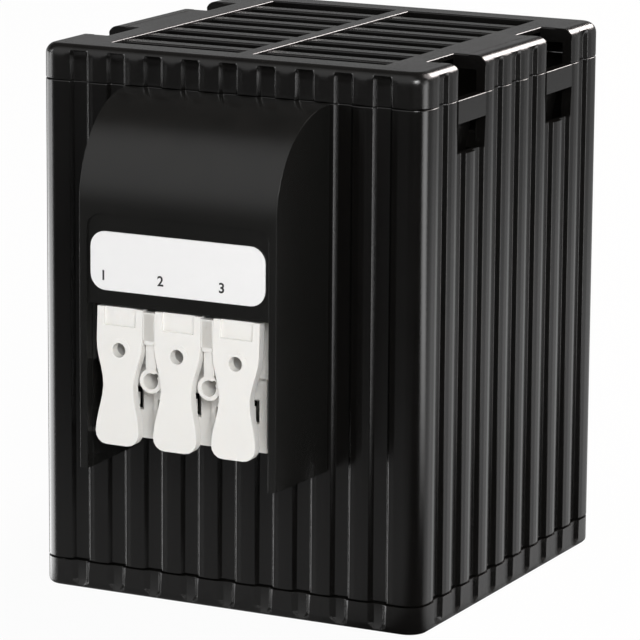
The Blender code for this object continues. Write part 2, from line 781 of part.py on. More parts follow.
def make_hood():
    hood = new_part("terminal_hood", hood_solid(0), BLACK_HOOD)
    round_edges(hood, HOOD_EDGE, 3, on_hood_edge)
    cut(hood, "hollow", hood_solid(HOOD_WALL))
    beyond = HOOD_FACE - GAP
    window_y = (beyond, HOOD_FACE + HOOD_WALL + GAP)
    window_z = (HOOD_BOTTOM - GAP, HOOD_WINDOW_TOP)
    cut(hood, "window", box((-HOOD_INSIDE, HOOD_INSIDE), window_y, window_z))
    height = RECESS_TOP - HOOD_WINDOW_TOP + 2 * RECESS_CORNER
    middle = (0, RECESS_TOP - height / 2)
    recess = rounded_rectangle(2 * HOOD_INSIDE, height, RECESS_CORNER, middle)
    cut(hood, "recess", prism(recess, beyond, HOOD_FACE + RECESS_DEPTH, "Y"))
    join(hood, "tongues", mirrored_pair(tongues(0)))


def make_label():
    outline = rounded_rectangle(LABEL_WIDTH, LABEL_HEIGHT, LABEL_CORNER, (0, LABEL_CENTRE))
    back = HOOD_FACE + RECESS_DEPTH - LABEL_GAP
    new_part("rating_label", prism(outline, back - LABEL_THICKNESS, back, "Y"), WHITE_LABEL)


# Terminal block

def pole_centres():
    return [(i - (POLES - 1) / 2) * POLE_PITCH for i in range(POLES)]


def between_poles():
    return [(a + b) / 2 for a, b in zip(pole_centres(), pole_centres()[1:])]


def block_box(width, back, front, z, middle=0.0):
    """A box across the block, its back and front measured out from the block's back."""
    x = (middle - width / 2, middle + width / 2)
    return box(x, (BLOCK_BACK - front, BLOCK_BACK - back), z)


def block_rod(radius, back, front, x, z, sides=24):
    return rod(radius, (x, BLOCK_BACK - back, z), front - back, "Y", sides)


def make_block():
    rail = block_box(BLOCK_RAIL_WIDTH, 0, BLOCK_FACE, (BLOCK_WAIST, BLOCK_TOP))
    block = new_part("terminal_block", rail, WHITE_TERMINAL)
    foot_z = (BLOCK_BOTTOM, BLOCK_WAIST + GAP)
    join(block, "foot", block_box(BLOCK_FOOT_WIDTH, 0, BLOCK_FOOT_FACE, foot_z))
    post = POLE_PITCH - LEVER_HEAD - 2 * GAP
    post_z = (BLOCK_WAIST - GAP, BLOCK_TOP - GAP)
    posts = [block_box(post, GAP, FIXING_REACH, post_z, x) for x in between_poles()]
    join(block, "posts", gather(posts))
    flush = LEVER_BACK_FACE + LEVER_THICKNESS
    panel_z = (LEVER_NECK_HEIGHT, BLOCK_TOP - GAP)
    panels = [block_box(post, 2 * GAP, flush, panel_z, x) for x in between_poles()]
    join(block, "panels", gather(panels))
    ledge_z = (BLOCK_BOTTOM, BLOCK_BOTTOM + LEDGE_THICKNESS)
    join(block, "ledge", block_box(BLOCK_RAIL_WIDTH, GAP, BLOCK_FOOT_FACE - GAP, ledge_z))
    ridge = POLE_PITCH - LEVER_FOOT - 2 * GAP
    ridge_z = (BLOCK_BOTTOM + GAP, FIXING_HEIGHT)
    ridges = [block_box(ridge, GAP, BLOCK_FACE, ridge_z, x) for x in between_poles()]
    join(block, "ridges", gather(ridges))
    fixings = [block_rod(FIXING_RADIUS, 2 * GAP, FIXING_REACH, x, FIXING_HEIGHT) for x in between_poles()]
    join(block, "fixings", gather(fixings))
    bottom = FIXING_REACH - FIXING_DEPTH
    front = FIXING_REACH + GAP
    bores = [block_rod(FIXING_BORE, bottom, front, x, FIXING_HEIGHT, 20) for x in between_poles()]
    cut(block, "fixing_bores", gather(bores))
    aside = FIXING_BORE / math.sqrt(2)
    notches = [block_rod(FIXING_NOTCH, bottom + GAP, front, x + aside, FIXING_HEIGHT + aside, 12)
               for x in between_poles()]
    cut(block, "fixing_notches", gather(notches))
    slot_z = (RIDGE_SLOT_BOTTOM, RIDGE_SLOT_TOP)
    slots_back = BLOCK_FACE - RIDGE_SLOT_DEPTH
    ridge_slots = [block_box(RIDGE_SLOT_WIDTH, slots_back, BLOCK_FACE + GAP, slot_z, x)
                   for x in between_poles()]
    cut(block, "ridge_slots", gather(ridge_slots))

    pocket_z = (POCKET_BOTTOM, POCKET_TOP)
    pockets = [block_box(POCKET_WIDTH, -GAP, POCKET_DEPTH, pocket_z, x) for x in pole_centres()]
    cut(block, "spring_pockets", gather(pockets))
    entry_y = BLOCK_BACK - POCKET_DEPTH / 2
    entries = [rod(WIRE_HOLE_RADIUS, (x, entry_y, BLOCK_BOTTOM - GAP), BLOCK_FLOOR + 2 * GAP, sides=16)
               for x in pole_centres()]
    cut(block, "wire_entries", gather(entries))
    port = PUSHER_WIDTH + 4 * GAP
    port_z = (PUSHER_HEIGHT - PUSHER_WIDTH, PUSHER_HEIGHT + PUSHER_WIDTH)
    port_front = BLOCK_FOOT_FACE + GAP
    ports = [block_box(port, POCKET_DEPTH - GAP, port_front, port_z, x) for x in pole_centres()]
    cut(block, "pusher_ports", gather(ports))
    seat = PIVOT_RADIUS + 2 * GAP
    seat_z = (PIVOT_HEIGHT - seat, PIVOT_HEIGHT + seat)
    seat_back = PIVOT_DEPTH - PIVOT_RADIUS - GAP
    seat_width = PIVOT_LENGTH + 2 * GAP
    seats = [block_box(seat_width, seat_back, BLOCK_FACE + GAP, seat_z, x) for x in pole_centres()]
    cut(block, "hinge_seats", gather(seats))


def lever_outline():
    """A bottle shape in X and Z: wide head, narrow waist, round foot."""
    head = (LEVER_HEAD / 2, LEVER_NECK_HEIGHT)
    waist = (LEVER_WAIST / 2, LEVER_WAIST_HEIGHT)
    foot = (LEVER_FOOT / 2, LEVER_FOOT_HEIGHT)
    corner = LEVER_FOOT_HEIGHT - LEVER_BOTTOM
    right = [(LEVER_HEAD / 2, LEVER_TOP), head]
    right += ease(head, waist)
    right += ease(waist, foot)
    right += arc((foot[0] - corner, foot[1]), corner, 0, -90, 4)[1:]
    left = [(-x, z) for x, z in reversed(right)]
    return right + left


def make_lever(index, x):
    paddle = prism(lever_outline(), LEVER_BACK - LEVER_THICKNESS, LEVER_BACK, "Y")
    for vert in paddle.verts:
        below = (LEVER_TOP - vert.co.z) / (LEVER_TOP - LEVER_BOTTOM)
        vert.co += Vector((x, -LEVER_KICK * below, 0))
    lever = new_part(f"release_lever_{index}", paddle, WHITE_TERMINAL)

    inside = LEVER_BACK - LEVER_THICKNESS / 2
    neck_x = (x - NECK_WIDTH / 2, x + NECK_WIDTH / 2)
    neck_z = (PIVOT_HEIGHT - PIVOT_RADIUS, PIVOT_HEIGHT + PIVOT_RADIUS)
    join(lever, "neck", box(neck_x, (inside, PIVOT_Y), neck_z))
    start = (x - PIVOT_LENGTH / 2, PIVOT_Y, PIVOT_HEIGHT)
    join(lever, "trunnion", rod(PIVOT_RADIUS, start, PIVOT_LENGTH, "X", 18))
    eye = LEVER_THICKNESS / 2 + EYE_RISE
    join(lever, "eye", rod(EYE_RADIUS, (x, inside, EYE_HEIGHT), eye, "Y"))
    push_x = (x - PUSHER_WIDTH / 2, x + PUSHER_WIDTH / 2)
    push_y = (inside - LEVER_KICK / 2, BLOCK_BACK - BLOCK_FOOT_FACE - GAP)
    push_z = (PUSHER_HEIGHT - PUSHER_WIDTH / 2, PUSHER_HEIGHT + PUSHER_WIDTH / 2)
    join(lever, "pusher", box(push_x, push_y, push_z))
    hole = LEVER_THICKNESS + EYE_RISE + 2 * GAP
    cut(lever, "eye_hole", rod(EYE_BORE, (x, LEVER_BACK + GAP, EYE_HEIGHT), hole, "Y", 20))
    step_x = LEVER_HEAD / 2 - HEAD_STEP_MARGIN
    front = LEVER_BACK - LEVER_THICKNESS
    step_z = (HEAD_STEP_HEIGHT, LEVER_TOP + GAP)
    cut(lever, "head_step", box((x - step_x, x + step_x), (front - GAP, front + HEAD_STEP), step_z))
    set_origin(lever, (x, PIVOT_Y, PIVOT_HEIGHT))


def set_origin(part, point):
    """Puts a part's origin on its joint axis, its shape and tools staying in place."""
    offset = Vector(point)
    part.data.transform(Matrix.Translation(-offset))
    part.location = offset


def make_spring(index, x):
    """A bent strip in the rear pocket: long back leg, loop at the top, short front leg."""
    back = BLOCK_BACK - GAP
    centre = (back - SPRING_LOOP, POCKET_TOP - GAP - SPRING_LOOP)
    low = POCKET_BOTTOM + GAP
    front_low = centre[1] - SPRING_LOOP
    outer = [(back, low)] + arc(centre, SPRING_LOOP, 0, 180, 8)
    outer.append((back - 2 * SPRING_LOOP, front_low))
    inner = [(back - 2 * SPRING_LOOP + SPRING_STRIP, front_low)]
    inner += arc(centre, SPRING_LOOP - SPRING_STRIP, 180, 0, 8)
    inner.append((back - SPRING_STRIP, low))
    form = prism(outer + inner, x - SPRING_WIDTH / 2, x + SPRING_WIDTH / 2, "X")
    new_part(f"clamp_spring_{index}", form, STEEL)


# Fan

def fan_holes():
    x = FAN_X - FAN_HOLE_INSET
    y = FAN_Y - FAN_HOLE_INSET
    return [(side * x, end * y) for side in (-1, 1) for end in (-1, 1)]


def make_fan_frame():
    outer = rounded_rectangle(2 * FAN_X, 2 * FAN_Y, FAN_CORNER, steps=15)
    frame_form = tube(outer, circle(FAN_BORE, 64), FAN_BOTTOM, FAN_TOP)
    frame = new_part("fan_frame", frame_form, FAN_PLASTIC)
    side = FAN_STRUT / 2
    base_z = (FAN_BOTTOM, FAN_BOTTOM + FAN_BASE)
    for turn in range(2):
        bar = box((-FAN_BORE - GAP, FAN_BORE + GAP), (-side, side), base_z)
        bar.transform(Matrix.Rotation(math.radians(45 + 90 * turn), 4, "Z"))
        join(frame, f"strut_{turn + 1}", bar)
    base = (0, 0, FAN_BOTTOM)
    join(frame, "motor_base", rod(FAN_HUB_RADIUS, base, FAN_BASE, sides=48))
    join(frame, "bearing", rod(BEARING_RADIUS, base, BEARING_LENGTH))
    cut(frame, "bearing_bore", rod(SHAFT_RADIUS + GAP, (0, 0, FAN_BOTTOM - GAP), FAN_DEPTH))
    holes = [rod(FAN_HOLE_RADIUS, (x, y, FAN_BOTTOM - GAP), FAN_DEPTH + 2 * GAP, sides=16)
             for x, y in fan_holes()]
    cut(frame, "screw_holes", gather(holes))


def fan_blade():
    """A twisted blade lofted outwards, steeper at the hub than at the tip."""
    height = ROTOR_HIGH - ROTOR_LOW
    middle = (ROTOR_LOW + ROTOR_HIGH) / 2
    root = FAN_HUB_RADIUS - ROTOR_WALL / 2
    tip = FAN_BORE - ROTOR_TIP_GAP
    stations = 5
    rings = []
    for i in range(stations):
        share = i / (stations - 1)
        radius = root + (tip - root) * share
        pitch = math.radians(BLADE_ROOT_PITCH + (BLADE_TIP_PITCH - BLADE_ROOT_PITCH) * share)
        chord = height / math.sin(math.radians(BLADE_ROOT_PITCH)) * 0.82
        ring = []
        for along, across in ((-1, -1), (0, -1), (1, -1), (1, 1), (0, 1), (-1, 1)):
            u = along * chord / 2
            v = across * BLADE_THICKNESS / 2 + (0.08 * chord if along == 0 else 0.0)
            run = u * math.cos(pitch) - v * math.sin(pitch)
            rise = u * math.sin(pitch) + v * math.cos(pitch)
            angle = run / radius
            ring.append((radius * math.cos(angle), radius * math.sin(angle), middle + rise))
        rings.append(ring)
    return loft(rings)


def make_rotor():
    hub = rod(FAN_HUB_RADIUS, (0, 0, ROTOR_LOW), ROTOR_HIGH - ROTOR_LOW, sides=48)
    rotor = new_part("fan_rotor", hub, FAN_PLASTIC)
    blade = fan_blade()
    for turn in range(BLADES):
        copy = blade.copy()
        copy.transform(Matrix.Rotation(2 * math.pi * turn / BLADES, 4, "Z"))
        join(rotor, f"blade_{turn + 1}", copy)
    blade.free()
    inside = FAN_HUB_RADIUS - ROTOR_WALL
    cup = rod(inside, (0, 0, ROTOR_LOW - GAP), ROTOR_CROWN - ROTOR_LOW + GAP, sides=48)
    cut(rotor, "cup", cup)
    boss_low = FAN_BOTTOM + BEARING_LENGTH + GAP
    join(rotor, "boss", rod(BEARING_RADIUS, (0, 0, boss_low), ROTOR_CROWN + GAP - boss_low))
    socket = rod(SHAFT_RADIUS + LABEL_GAP, (0, 0, boss_low - GAP), ROTOR_CROWN - boss_low + GAP)
    cut(rotor, "socket", socket)


def make_fan():
    make_fan_frame()
    make_rotor()
    shaft_low = FAN_BOTTOM + GAP
    new_part("fan_shaft", rod(SHAFT_RADIUS, (0, 0, shaft_low), ROTOR_CROWN - GAP - shaft_low), STEEL)
    low = FAN_BOTTOM + FAN_BASE + GAP
    ring = tube(circle(STATOR_RADIUS, 40), circle(BEARING_RADIUS + GAP, 40), low, low + STATOR_LENGTH)
    new_part("fan_stator", ring, COPPER)
    head_low = FAN_SCREW_SINK - GAP - FAN_SCREW_HEAD * 0.6
    length = FAN_BOTTOM + FAN_SCREW_BITE - head_low
    for index, (x, y) in enumerate(fan_holes(), 1):
        new_screw(f"fan_screw_{index}", FAN_SCREW_RADIUS, FAN_SCREW_HEAD,
                  FAN_SCREW_HEAD * 0.6, length, (x, y, head_low))


# Heater

def sink_outline():
    """A flat channel with fins on both faces, drawn as one extrusion's outline."""
    half = SINK_FIN_THICKNESS / 2
    step = (SINK_WIDTH - SINK_FIN_THICKNESS) / (SINK_FINS - 1)
    centres = [-SINK_WIDTH / 2 + half + i * step for i in range(SINK_FINS)]
    body = SINK_BODY / 2
    tip = body + SINK_FIN
    front = []
    for x in centres:
        front += [(x - half, -body), (x - half, -tip), (x + half, -tip), (x + half, -body)]
    front = front[1:-1]
    return front + [(-x, -y) for x, y in front]


def make_heater():
    sink = new_part("heatsink", prism(sink_outline(), SINK_BOTTOM, SINK_TOP), ALUMINIUM)
    half_x = SINK_WIDTH / 2 - CHANNEL_WALL
    half_y = CHANNEL_HEIGHT / 2
    channel_z = (SINK_BOTTOM - GAP, SINK_TOP + GAP)
    cut(sink, "channel", box((-half_x, half_x), (-half_y, half_y), channel_z))
    bore = CUTOUT_SCREW + GAP
    depth = CUTOUT_SCREW_BITE + 2 * GAP
    bores = [rod(bore, (-SINK_WIDTH / 2 - GAP, 0, z), depth, "X", 16) for z in cutout_screw_heights()]
    cut(sink, "cutout_bores", gather(bores))

    element_x = (GAP - half_x, half_x - GAP)
    element_y = (GAP - half_y, half_y - GAP)
    element_top = SINK_TOP + ELEMENT_RISE
    element = new_part("heating_element", box(element_x, element_y, (SINK_BOTTOM, element_top)), CERAMIC)
    tab_x = (TAB_OFFSET - TAB_WIDTH / 2, TAB_OFFSET + TAB_WIDTH / 2)
    tab_y = (-TAB_THICKNESS / 2, TAB_THICKNESS / 2)
    tab = box(tab_x, tab_y, (element_top - GAP, element_top + TAB_LENGTH))
    join(element, "tabs", mirrored_pair([tab]))

    make_holder("heater_cradle", LOWER_HOLDER, 1)
    make_holder("heater_clamp", UPPER_HOLDER, -1)


def make_holder(name, low, side):
    """A rim with two bars; lugs on the bars close in the ends of the heatsink."""
    rim, _ = lip_outlines()
    opening_x = 2 * (LIP_X - HOLDER_RIM)
    opening_y = 2 * (LIP_Y - HOLDER_RIM)
    opening = rounded_rectangle(opening_x, opening_y, INNER_CORNER)
    high = low + HOLDER_HEIGHT
    holder = new_part(name, tube(rim, opening, low, high), HOLDER_PLASTIC)
    bar_y = (SINK_BODY + SINK_FIN - HOLDER_BAR) / 2
    bars_x = (HOLDER_RIM / 2 - LIP_X, LIP_X - HOLDER_RIM / 2)
    bars = [box(bars_x, (y, y + HOLDER_BAR), (low, high)) for y in (bar_y, -bar_y - HOLDER_BAR)]
    join(holder, "bars", gather(bars))
    start = SINK_WIDTH / 2 + GAP
    if side > 0:
        lug_z = (low + GAP, high + GAP + HOLDER_LUG)
    else:
        lug_z = (low - GAP - HOLDER_LUG, high - GAP)
    lug = box((start, start + HOLDER_LUG), (bar_y + GAP, bar_y + HOLDER_BAR - GAP), lug_z)
    join(holder, "lugs", four_ways(lug))


def cutout_screw_heights():
    return [SINK_MIDDLE + side * CUTOUT_SPAN / 2 for side in (-1, 1)]


def make_cutout():
    """A round bimetal switch on a two-eared flange, with two blade terminals."""
    outer = CUTOUT_FACE - CUTOUT_FLANGE
    ear = CUTOUT_EAR / 2
    reach = CUTOUT_SPAN / 2 + ear
    flange = box((outer, CUTOUT_FACE), (-ear, ear), (SINK_MIDDLE - reach, SINK_MIDDLE + reach))
    cutout = new_part("thermal_cutout", flange, CERAMIC)
    end = outer - CUTOUT_HEIGHT
    join(cutout, "body", rod(CUTOUT_RADIUS, (end, 0, SINK_MIDDLE), CUTOUT_HEIGHT + GAP, "X", 32))
    tabs = [box((end - TAB_LENGTH, end + GAP), (-TAB_WIDTH / 2, TAB_WIDTH / 2),
                (z - TAB_THICKNESS / 2, z + TAB_THICKNESS / 2)) for z in cutout_tab_heights()]
    join(cutout, "tabs", gather(tabs))
    bores = [rod(CUTOUT_SCREW + GAP, (outer - GAP, 0, z), CUTOUT_FLANGE + 2 * GAP, "X", 16)
             for z in cutout_screw_heights()]
    cut(cutout, "bores", gather(bores))
    head_height = CUTOUT_SCREW_HEAD * 0.6
    start = outer - GAP - head_height
    length = -SINK_WIDTH / 2 + CUTOUT_SCREW_BITE - start
    for index, z in enumerate(cutout_screw_heights(), 1):
        new_screw(f"cutout_screw_{index}", CUTOUT_SCREW, CUTOUT_SCREW_HEAD, head_height, length,
                  (start, 0, z), (0, math.radians(90), 0))


def cutout_tab_heights():
    return [SINK_MIDDLE + side * CUTOUT_TAB_OFFSET for side in (-1, 1)]


# Rail clip

def clip_outline():
    """The clip's side outline in Y and Z: fixed hook above, sprung hook below, seat between."""
    low = CLIP_MIDDLE - CLIP_HEIGHT / 2
    high = CLIP_MIDDLE + CLIP_HEIGHT / 2
    rail_low = CLIP_MIDDLE - RAIL_HEIGHT / 2
    rail_high = CLIP_MIDDLE + RAIL_HEIGHT / 2
    slot = CLIP_FACE + RAIL_SLOT
    outer = slot + CLIP_LIP
    plate = CLIP_FACE - SEAT_RISE
    seat_low = rail_low + CLIP_OVERLAP + GAP
    seat_high = rail_high - CLIP_OVERLAP - GAP
    slit_front = CLIP_FACE - CLIP_TONGUE
    slit_back = slit_front - CLIP_SLIT
    slit_top = low + CLIP_TONGUE_LENGTH
    return [
        (CLIP_BACK, low),
        (slit_back, low),
        (slit_back, slit_top),
        (slit_front, slit_top),
        (slit_front, low),
        (outer - CLIP_CHAMFER, low),
        (outer, low + CLIP_CHAMFER),
        (outer, rail_low + CLIP_OVERLAP - CLIP_CHAMFER),
        (slot, rail_low + CLIP_OVERLAP),
        (slot, rail_low),
        (plate, rail_low),
        (plate, seat_low),
        (CLIP_FACE, seat_low),
        (CLIP_FACE, seat_high),
        (plate, seat_high),
        (plate, rail_high),
        (slot, rail_high),
        (slot, rail_high - CLIP_OVERLAP),
        (outer, rail_high - CLIP_OVERLAP),
        (outer, high - CLIP_CHAMFER),
        (outer - CLIP_CHAMFER, high),
        (CLIP_BACK, high),
    ]


def make_clip():
    clip = new_part("rail_clip", prism(clip_outline(), -CLIP_WIDTH / 2, CLIP_WIDTH / 2, "X"), BLACK_CASE)
    bore = CLIP_SCREW_RADIUS + GAP
    bores = [rod(bore, (x, CLIP_FACE + GAP, z), CLIP_PLATE + 2 * GAP, "Y", 20)
             for x, z in clip_screw_places()]
    cut(clip, "bores", gather(bores))
    sinks = [rod(CLIP_SCREW_HEAD + GAP, (x, CLIP_FACE + GAP, z), CLIP_SCREW_SINK + GAP, "Y", 20)
             for x, z in clip_screw_places()]
    cut(clip, "sinks", gather(sinks))
    head_height = CLIP_SCREW_SINK - 2 * GAP
    start = CLIP_FACE - GAP
    for index, (x, z) in enumerate(clip_screw_places(), 1):
        new_screw(f"clip_screw_{index}", CLIP_SCREW_RADIUS, CLIP_SCREW_HEAD, head_height,
                  CLIP_SCREW_LENGTH, (x, start, z), (math.radians(90), 0, 0))


# Leads

def smooth(points, steps=6):
    """A Catmull-Rom curve through the points."""
    knots = [Vector(point) for point in points]
    knots = [2 * knots[0] - knots[1]] + knots + [2 * knots[-1] - knots[-2]]
    path = []
    for a, b, c, d in zip(knots, knots[1:], knots[2:], knots[3:]):
        for i in range(steps):
            t = i / steps
            path.append(0.5 * (2 * b + (c - a) * t + (2 * a - 5 * b + 4 * c - d) * t ** 2
                               + (3 * b - a - 3 * c + d) * t ** 3))
    path.append(knots[-2])
    return path


def make_lead(name, points):
    curve = bpy.data.curves.new(name, "CURVE")
    curve.dimensions = "3D"
    curve.bevel_depth = LEAD_RADIUS
    curve.bevel_resolution = 2
    curve.use_fill_caps = True
    path = smooth(points)
    spline = curve.splines.new("POLY")
    spline.points.add(len(path) - 1)
    for point, place_at in zip(spline.points, path):
        point.co = (*place_at, 1)
    lead = bpy.data.objects.new(name, curve)
    HEATER.objects.link(lead)
    curve.materials.append(LEAD_SLEEVE)


def make_leads():
    start_y = BLOCK_BACK + GAP
    in_window = (LEAD_WINDOW_BOTTOM + LEAD_WINDOW_TOP) / 2
    inside = -INNER_Y
    beside = LEAD_RADIUS + GAP
    first, second, third = pole_centres()
    blade_x = CUTOUT_FACE - CUTOUT_FLANGE - CUTOUT_HEIGHT - TAB_LENGTH / 2
    blade_y = -TAB_WIDTH / 2 - beside + LEAD_RADIUS
    low_blade, high_blade = cutout_tab_heights()
    fins = -SINK_BODY / 2 - SINK_FIN
    above = UPPER_HOLDER + HOLDER_HEIGHT + beside
    tab_z = SINK_TOP + ELEMENT_RISE + TAB_LENGTH / 2
    tab_y = -TAB_THICKNESS / 2 - beside

    make_lead("lead_heater", [
        (first, start_y, in_window),
        (first, inside, in_window),
        (first - 8 * MM, inside + 8 * MM, in_window + 2 * MM),
        (blade_x + 5 * MM, inside + 20 * MM, low_blade - 3 * MM),
        (blade_x, blade_y - 8 * MM, low_blade - MM),
        (blade_x, blade_y, low_blade),
    ])
    make_lead("lead_link", [
        (blade_x, blade_y, high_blade),
        (blade_x, blade_y - 6 * MM, high_blade + 2 * MM),
        (blade_x + 4 * MM, fins + 2 * MM, high_blade + 12 * MM),
        (-SINK_WIDTH / 2 - 5 * MM, fins - 3 * MM, SINK_TOP - 4 * MM),
        (-SINK_WIDTH / 2 + 2 * MM, fins - 2 * MM, above),
        (-TAB_OFFSET - 3 * MM, fins / 2, above + 4 * MM),
        (-TAB_OFFSET, tab_y - 5 * MM, tab_z + 3 * MM),
        (-TAB_OFFSET, tab_y, tab_z),
    ])
    make_lead("lead_common", [
        (second, start_y, in_window),
        (second, inside, in_window),
        (second + 2 * MM, inside + 8 * MM, in_window + 4 * MM),
        (TAB_OFFSET - 3 * MM, fins - 7 * MM, in_window + 20 * MM),
        (TAB_OFFSET, fins - 5 * MM, SINK_TOP - 6 * MM),
        (TAB_OFFSET, fins - 2 * MM, above),
        (TAB_OFFSET, fins / 2, above + 4 * MM),
        (TAB_OFFSET, tab_y - 5 * MM, tab_z + 3 * MM),
        (TAB_OFFSET, tab_y, tab_z),
    ])
    corner = (FAN_X - 10.4 * MM, 10.4 * MM - FAN_Y)
    make_lead("lead_fan", [
        (third, start_y, in_window),
        (third, inside, in_window),
        (third + 6 * MM, inside + 7 * MM, in_window - 2 * MM),
        (corner[0] - MM, corner[1], FAN_TOP + HOLDER_HEIGHT + 3 * MM),
        (*corner, FAN_TOP + GAP),
    ])


make_housing()
make_top_grille()
make_bottom_grille()
make_hood()
make_label()
make_block()
for number, pole in enumerate(pole_centres(), 1):
    make_lever(number, pole)
    make_spring(number, pole)
make_fan()
make_heater()
make_cutout()
make_clip()
make_leads()
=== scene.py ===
"""The look of a black touch-safe fan heater with a hooded white terminal block."""

import math

import bmesh
import bpy
import numpy as np
from mathutils import Matrix, Vector


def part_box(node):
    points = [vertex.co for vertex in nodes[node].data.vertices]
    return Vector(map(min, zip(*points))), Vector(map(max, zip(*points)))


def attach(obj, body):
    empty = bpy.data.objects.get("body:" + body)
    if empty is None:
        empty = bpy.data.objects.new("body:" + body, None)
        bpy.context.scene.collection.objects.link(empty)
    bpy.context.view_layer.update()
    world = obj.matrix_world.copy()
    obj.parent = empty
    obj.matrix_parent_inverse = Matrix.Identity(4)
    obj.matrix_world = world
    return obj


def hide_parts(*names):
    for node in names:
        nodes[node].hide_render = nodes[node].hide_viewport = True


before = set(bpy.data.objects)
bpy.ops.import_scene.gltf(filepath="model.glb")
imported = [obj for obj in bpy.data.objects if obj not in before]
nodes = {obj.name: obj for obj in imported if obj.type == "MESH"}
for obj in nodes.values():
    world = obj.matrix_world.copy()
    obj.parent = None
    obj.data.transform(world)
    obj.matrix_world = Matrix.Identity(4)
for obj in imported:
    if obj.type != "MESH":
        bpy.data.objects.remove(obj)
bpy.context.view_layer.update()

MM = 0.001

# An outward direction faces an axis from this share of it; edges are sharp from this angle
FACING = 0.9
SHARP_ANGLE = math.radians(50)

# How near points of a CAD mesh are one, and how flat its triangles meet in one face
MERGE_DISTANCE = 0.002 * MM
FLAT_ANGLE = math.radians(0.6)

# Sizes of the case, from the frame
case_low, case_high = (np.array(corner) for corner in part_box("housing"))
cap_low, cap_high = (np.array(corner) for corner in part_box("top_grille"))
WIDTH = cap_high[0] - cap_low[0]
DEPTH = cap_high[1] - cap_low[1]
HEIGHT = cap_high[2]
BODY_BOTTOM = case_low[2]
BODY_TOP = case_high[2]

# Sizes of the ribs and openings, as the case has them
WALL = 2.2 * MM
CORNER_RADIUS = 4.0 * MM
GROOVES = 9
GROOVE_WIDTH = 4.2 * MM
GROOVE_FLOOR = 2.9 * MM
GROOVE_DEPTH = 1.15 * MM
CORNER_RIB = 6.95 * MM
RIB_ROUND = 0.3 * MM
CROWN_WIDTH = 1.6 * MM
CROWN_DROP = 0.2 * MM
CROWN_SHARES = np.arange(5) / 10
FLOOR_ROUND = 0.25 * MM
EDGE_ROUND = 0.22 * MM
SUPPORT = 0.05 * MM
WINDOW_SPAN = (14.6 * MM, 27.2 * MM)
WINDOW_BOTTOM = BODY_TOP - 10.9 * MM
WINDOW_TOP = BODY_TOP - 4.6 * MM
PANEL_RECESS = 0.02 * MM
PAD_HALF = 18.0 * MM
PAD_LOW = 30.5 * MM
PAD_HIGH = 81.5 * MM

# Sizes of the cap, its slats and its notches
CAP_SEAM = BODY_TOP + 0.12 * MM
CAP_FILLET = 2.2 * MM
CAP_RIM = 3.9 * MM
CAP_PLATE = 2.9 * MM
TOP_EDGE_ROUND = 0.3 * MM
GROOVE_STOP = 0.9 * MM
GROOVE_RUN = 2.0 * MM
FIELD_X = (1.6 * MM, 30.3 * MM)
SLAT_ROWS = 7
SLAT_PITCH = 9.15 * MM
SLAT_WIDTH = 3.4 * MM
SLAT_DROP = 0.45 * MM
SLAT_ROUND = 0.35 * MM
NOTCH_DEPTH = 7.0 * MM
CAP_PLATE_REACH = WIDTH / 2 - CAP_RIM + SUPPORT

# Sizes of the cap's sprung hooks
HOOK_THICKNESS = 1.5 * MM
HOOK_CLEAR = 0.3 * MM
HOOK_SIDE = 0.6 * MM
HOOK_ROOT_DROP = 1.0 * MM
HOOK_BEND_DROP = 1.5 * MM
NOSE_RECESS = 3.2 * MM
NOSE_TOP_DROP = 1.0 * MM

# Sizes of the numbers on the label, and where each stands as a share of its width
DIGIT_SIZE = 2.75 * MM
DIGIT_RISE = 2.0 * MM
DIGIT_BOLDNESS = 0.06 * MM
DIGIT_HALF_THICKNESS = 0.01 * MM
DIGIT_PROUD = 0.012 * MM
DIGIT_PLACES = (0.075, 0.405, 0.755)

# Sizes of the plates between the levers, from the block and its levers
lever_low, lever_high = (np.array(corner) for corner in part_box("release_lever_2"))
first_lever_low = np.array(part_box("release_lever_1")[0])
block_low, block_high = (np.array(corner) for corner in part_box("terminal_block"))
LEVER_WIDTH = lever_high[0] - lever_low[0]
LEVER_PITCH = lever_low[0] - first_lever_low[0]
BRIDGE_GAP = 0.07 * MM
BRIDGE_LOW = 58.0 * MM
BRIDGE_BACK = 1.6 * MM
STEP_HIGH = 57.4 * MM
STEP_LOW = 52.6 * MM
STEP_BACK = 0.45 * MM
STEP_WIDTH = 1.9 * MM


# Helpers for meshes

def new_piece(name, points, faces, material, body="case", smooth=True):
    """A mesh object with its place in its mesh, riding on a body."""
    mesh = bpy.data.meshes.new(name)
    mesh.from_pydata(np.asarray(points, float).reshape(-1, 3), [], faces)
    if smooth:
        mesh.shade_smooth()
        mesh.set_sharp_from_angle(angle=SHARP_ANGLE)
    piece = bpy.data.objects.new(name, mesh)
    bpy.context.scene.collection.objects.link(piece)
    piece.data.materials.append(material)
    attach(piece, body)
    return piece


def filleted(corners, radii, steps=5):
    """A path with each inner corner turned into an arc, and a support point either side.

    The arc's centre is the radius away from both legs, and its points are the centre plus
    the radius along directions spread evenly between the legs' two normals.
    """
    corners = np.asarray(corners, float)
    path = [corners[:1]]
    for before, corner, after, radius in zip(corners, corners[1:], corners[2:], radii):
        to_before = (before - corner) / np.linalg.norm(before - corner)
        to_after = (after - corner) / np.linalg.norm(after - corner)
        half = math.acos(np.clip(to_before @ to_after, -1, 1)) / 2
        reach = radius / math.tan(half)
        bisector = (to_before + to_after) / np.linalg.norm(to_before + to_after)
        centre = corner + bisector * radius / math.sin(half)
        start = corner + to_before * reach - centre
        end = corner + to_after * reach - centre
        share = np.linspace(0, 1, steps + 1)[:, None]
        angle = math.pi - 2 * half
        fan = (np.sin((1 - share) * angle) * start + np.sin(share * angle) * end) / math.sin(angle)
        support = np.array([corner + to_before * (reach + SUPPORT)])
        beyond = np.array([corner + to_after * (reach + SUPPORT)])
        path += [support, centre + fan, beyond]
    path.append(corners[-1:])
    return np.concatenate(path)


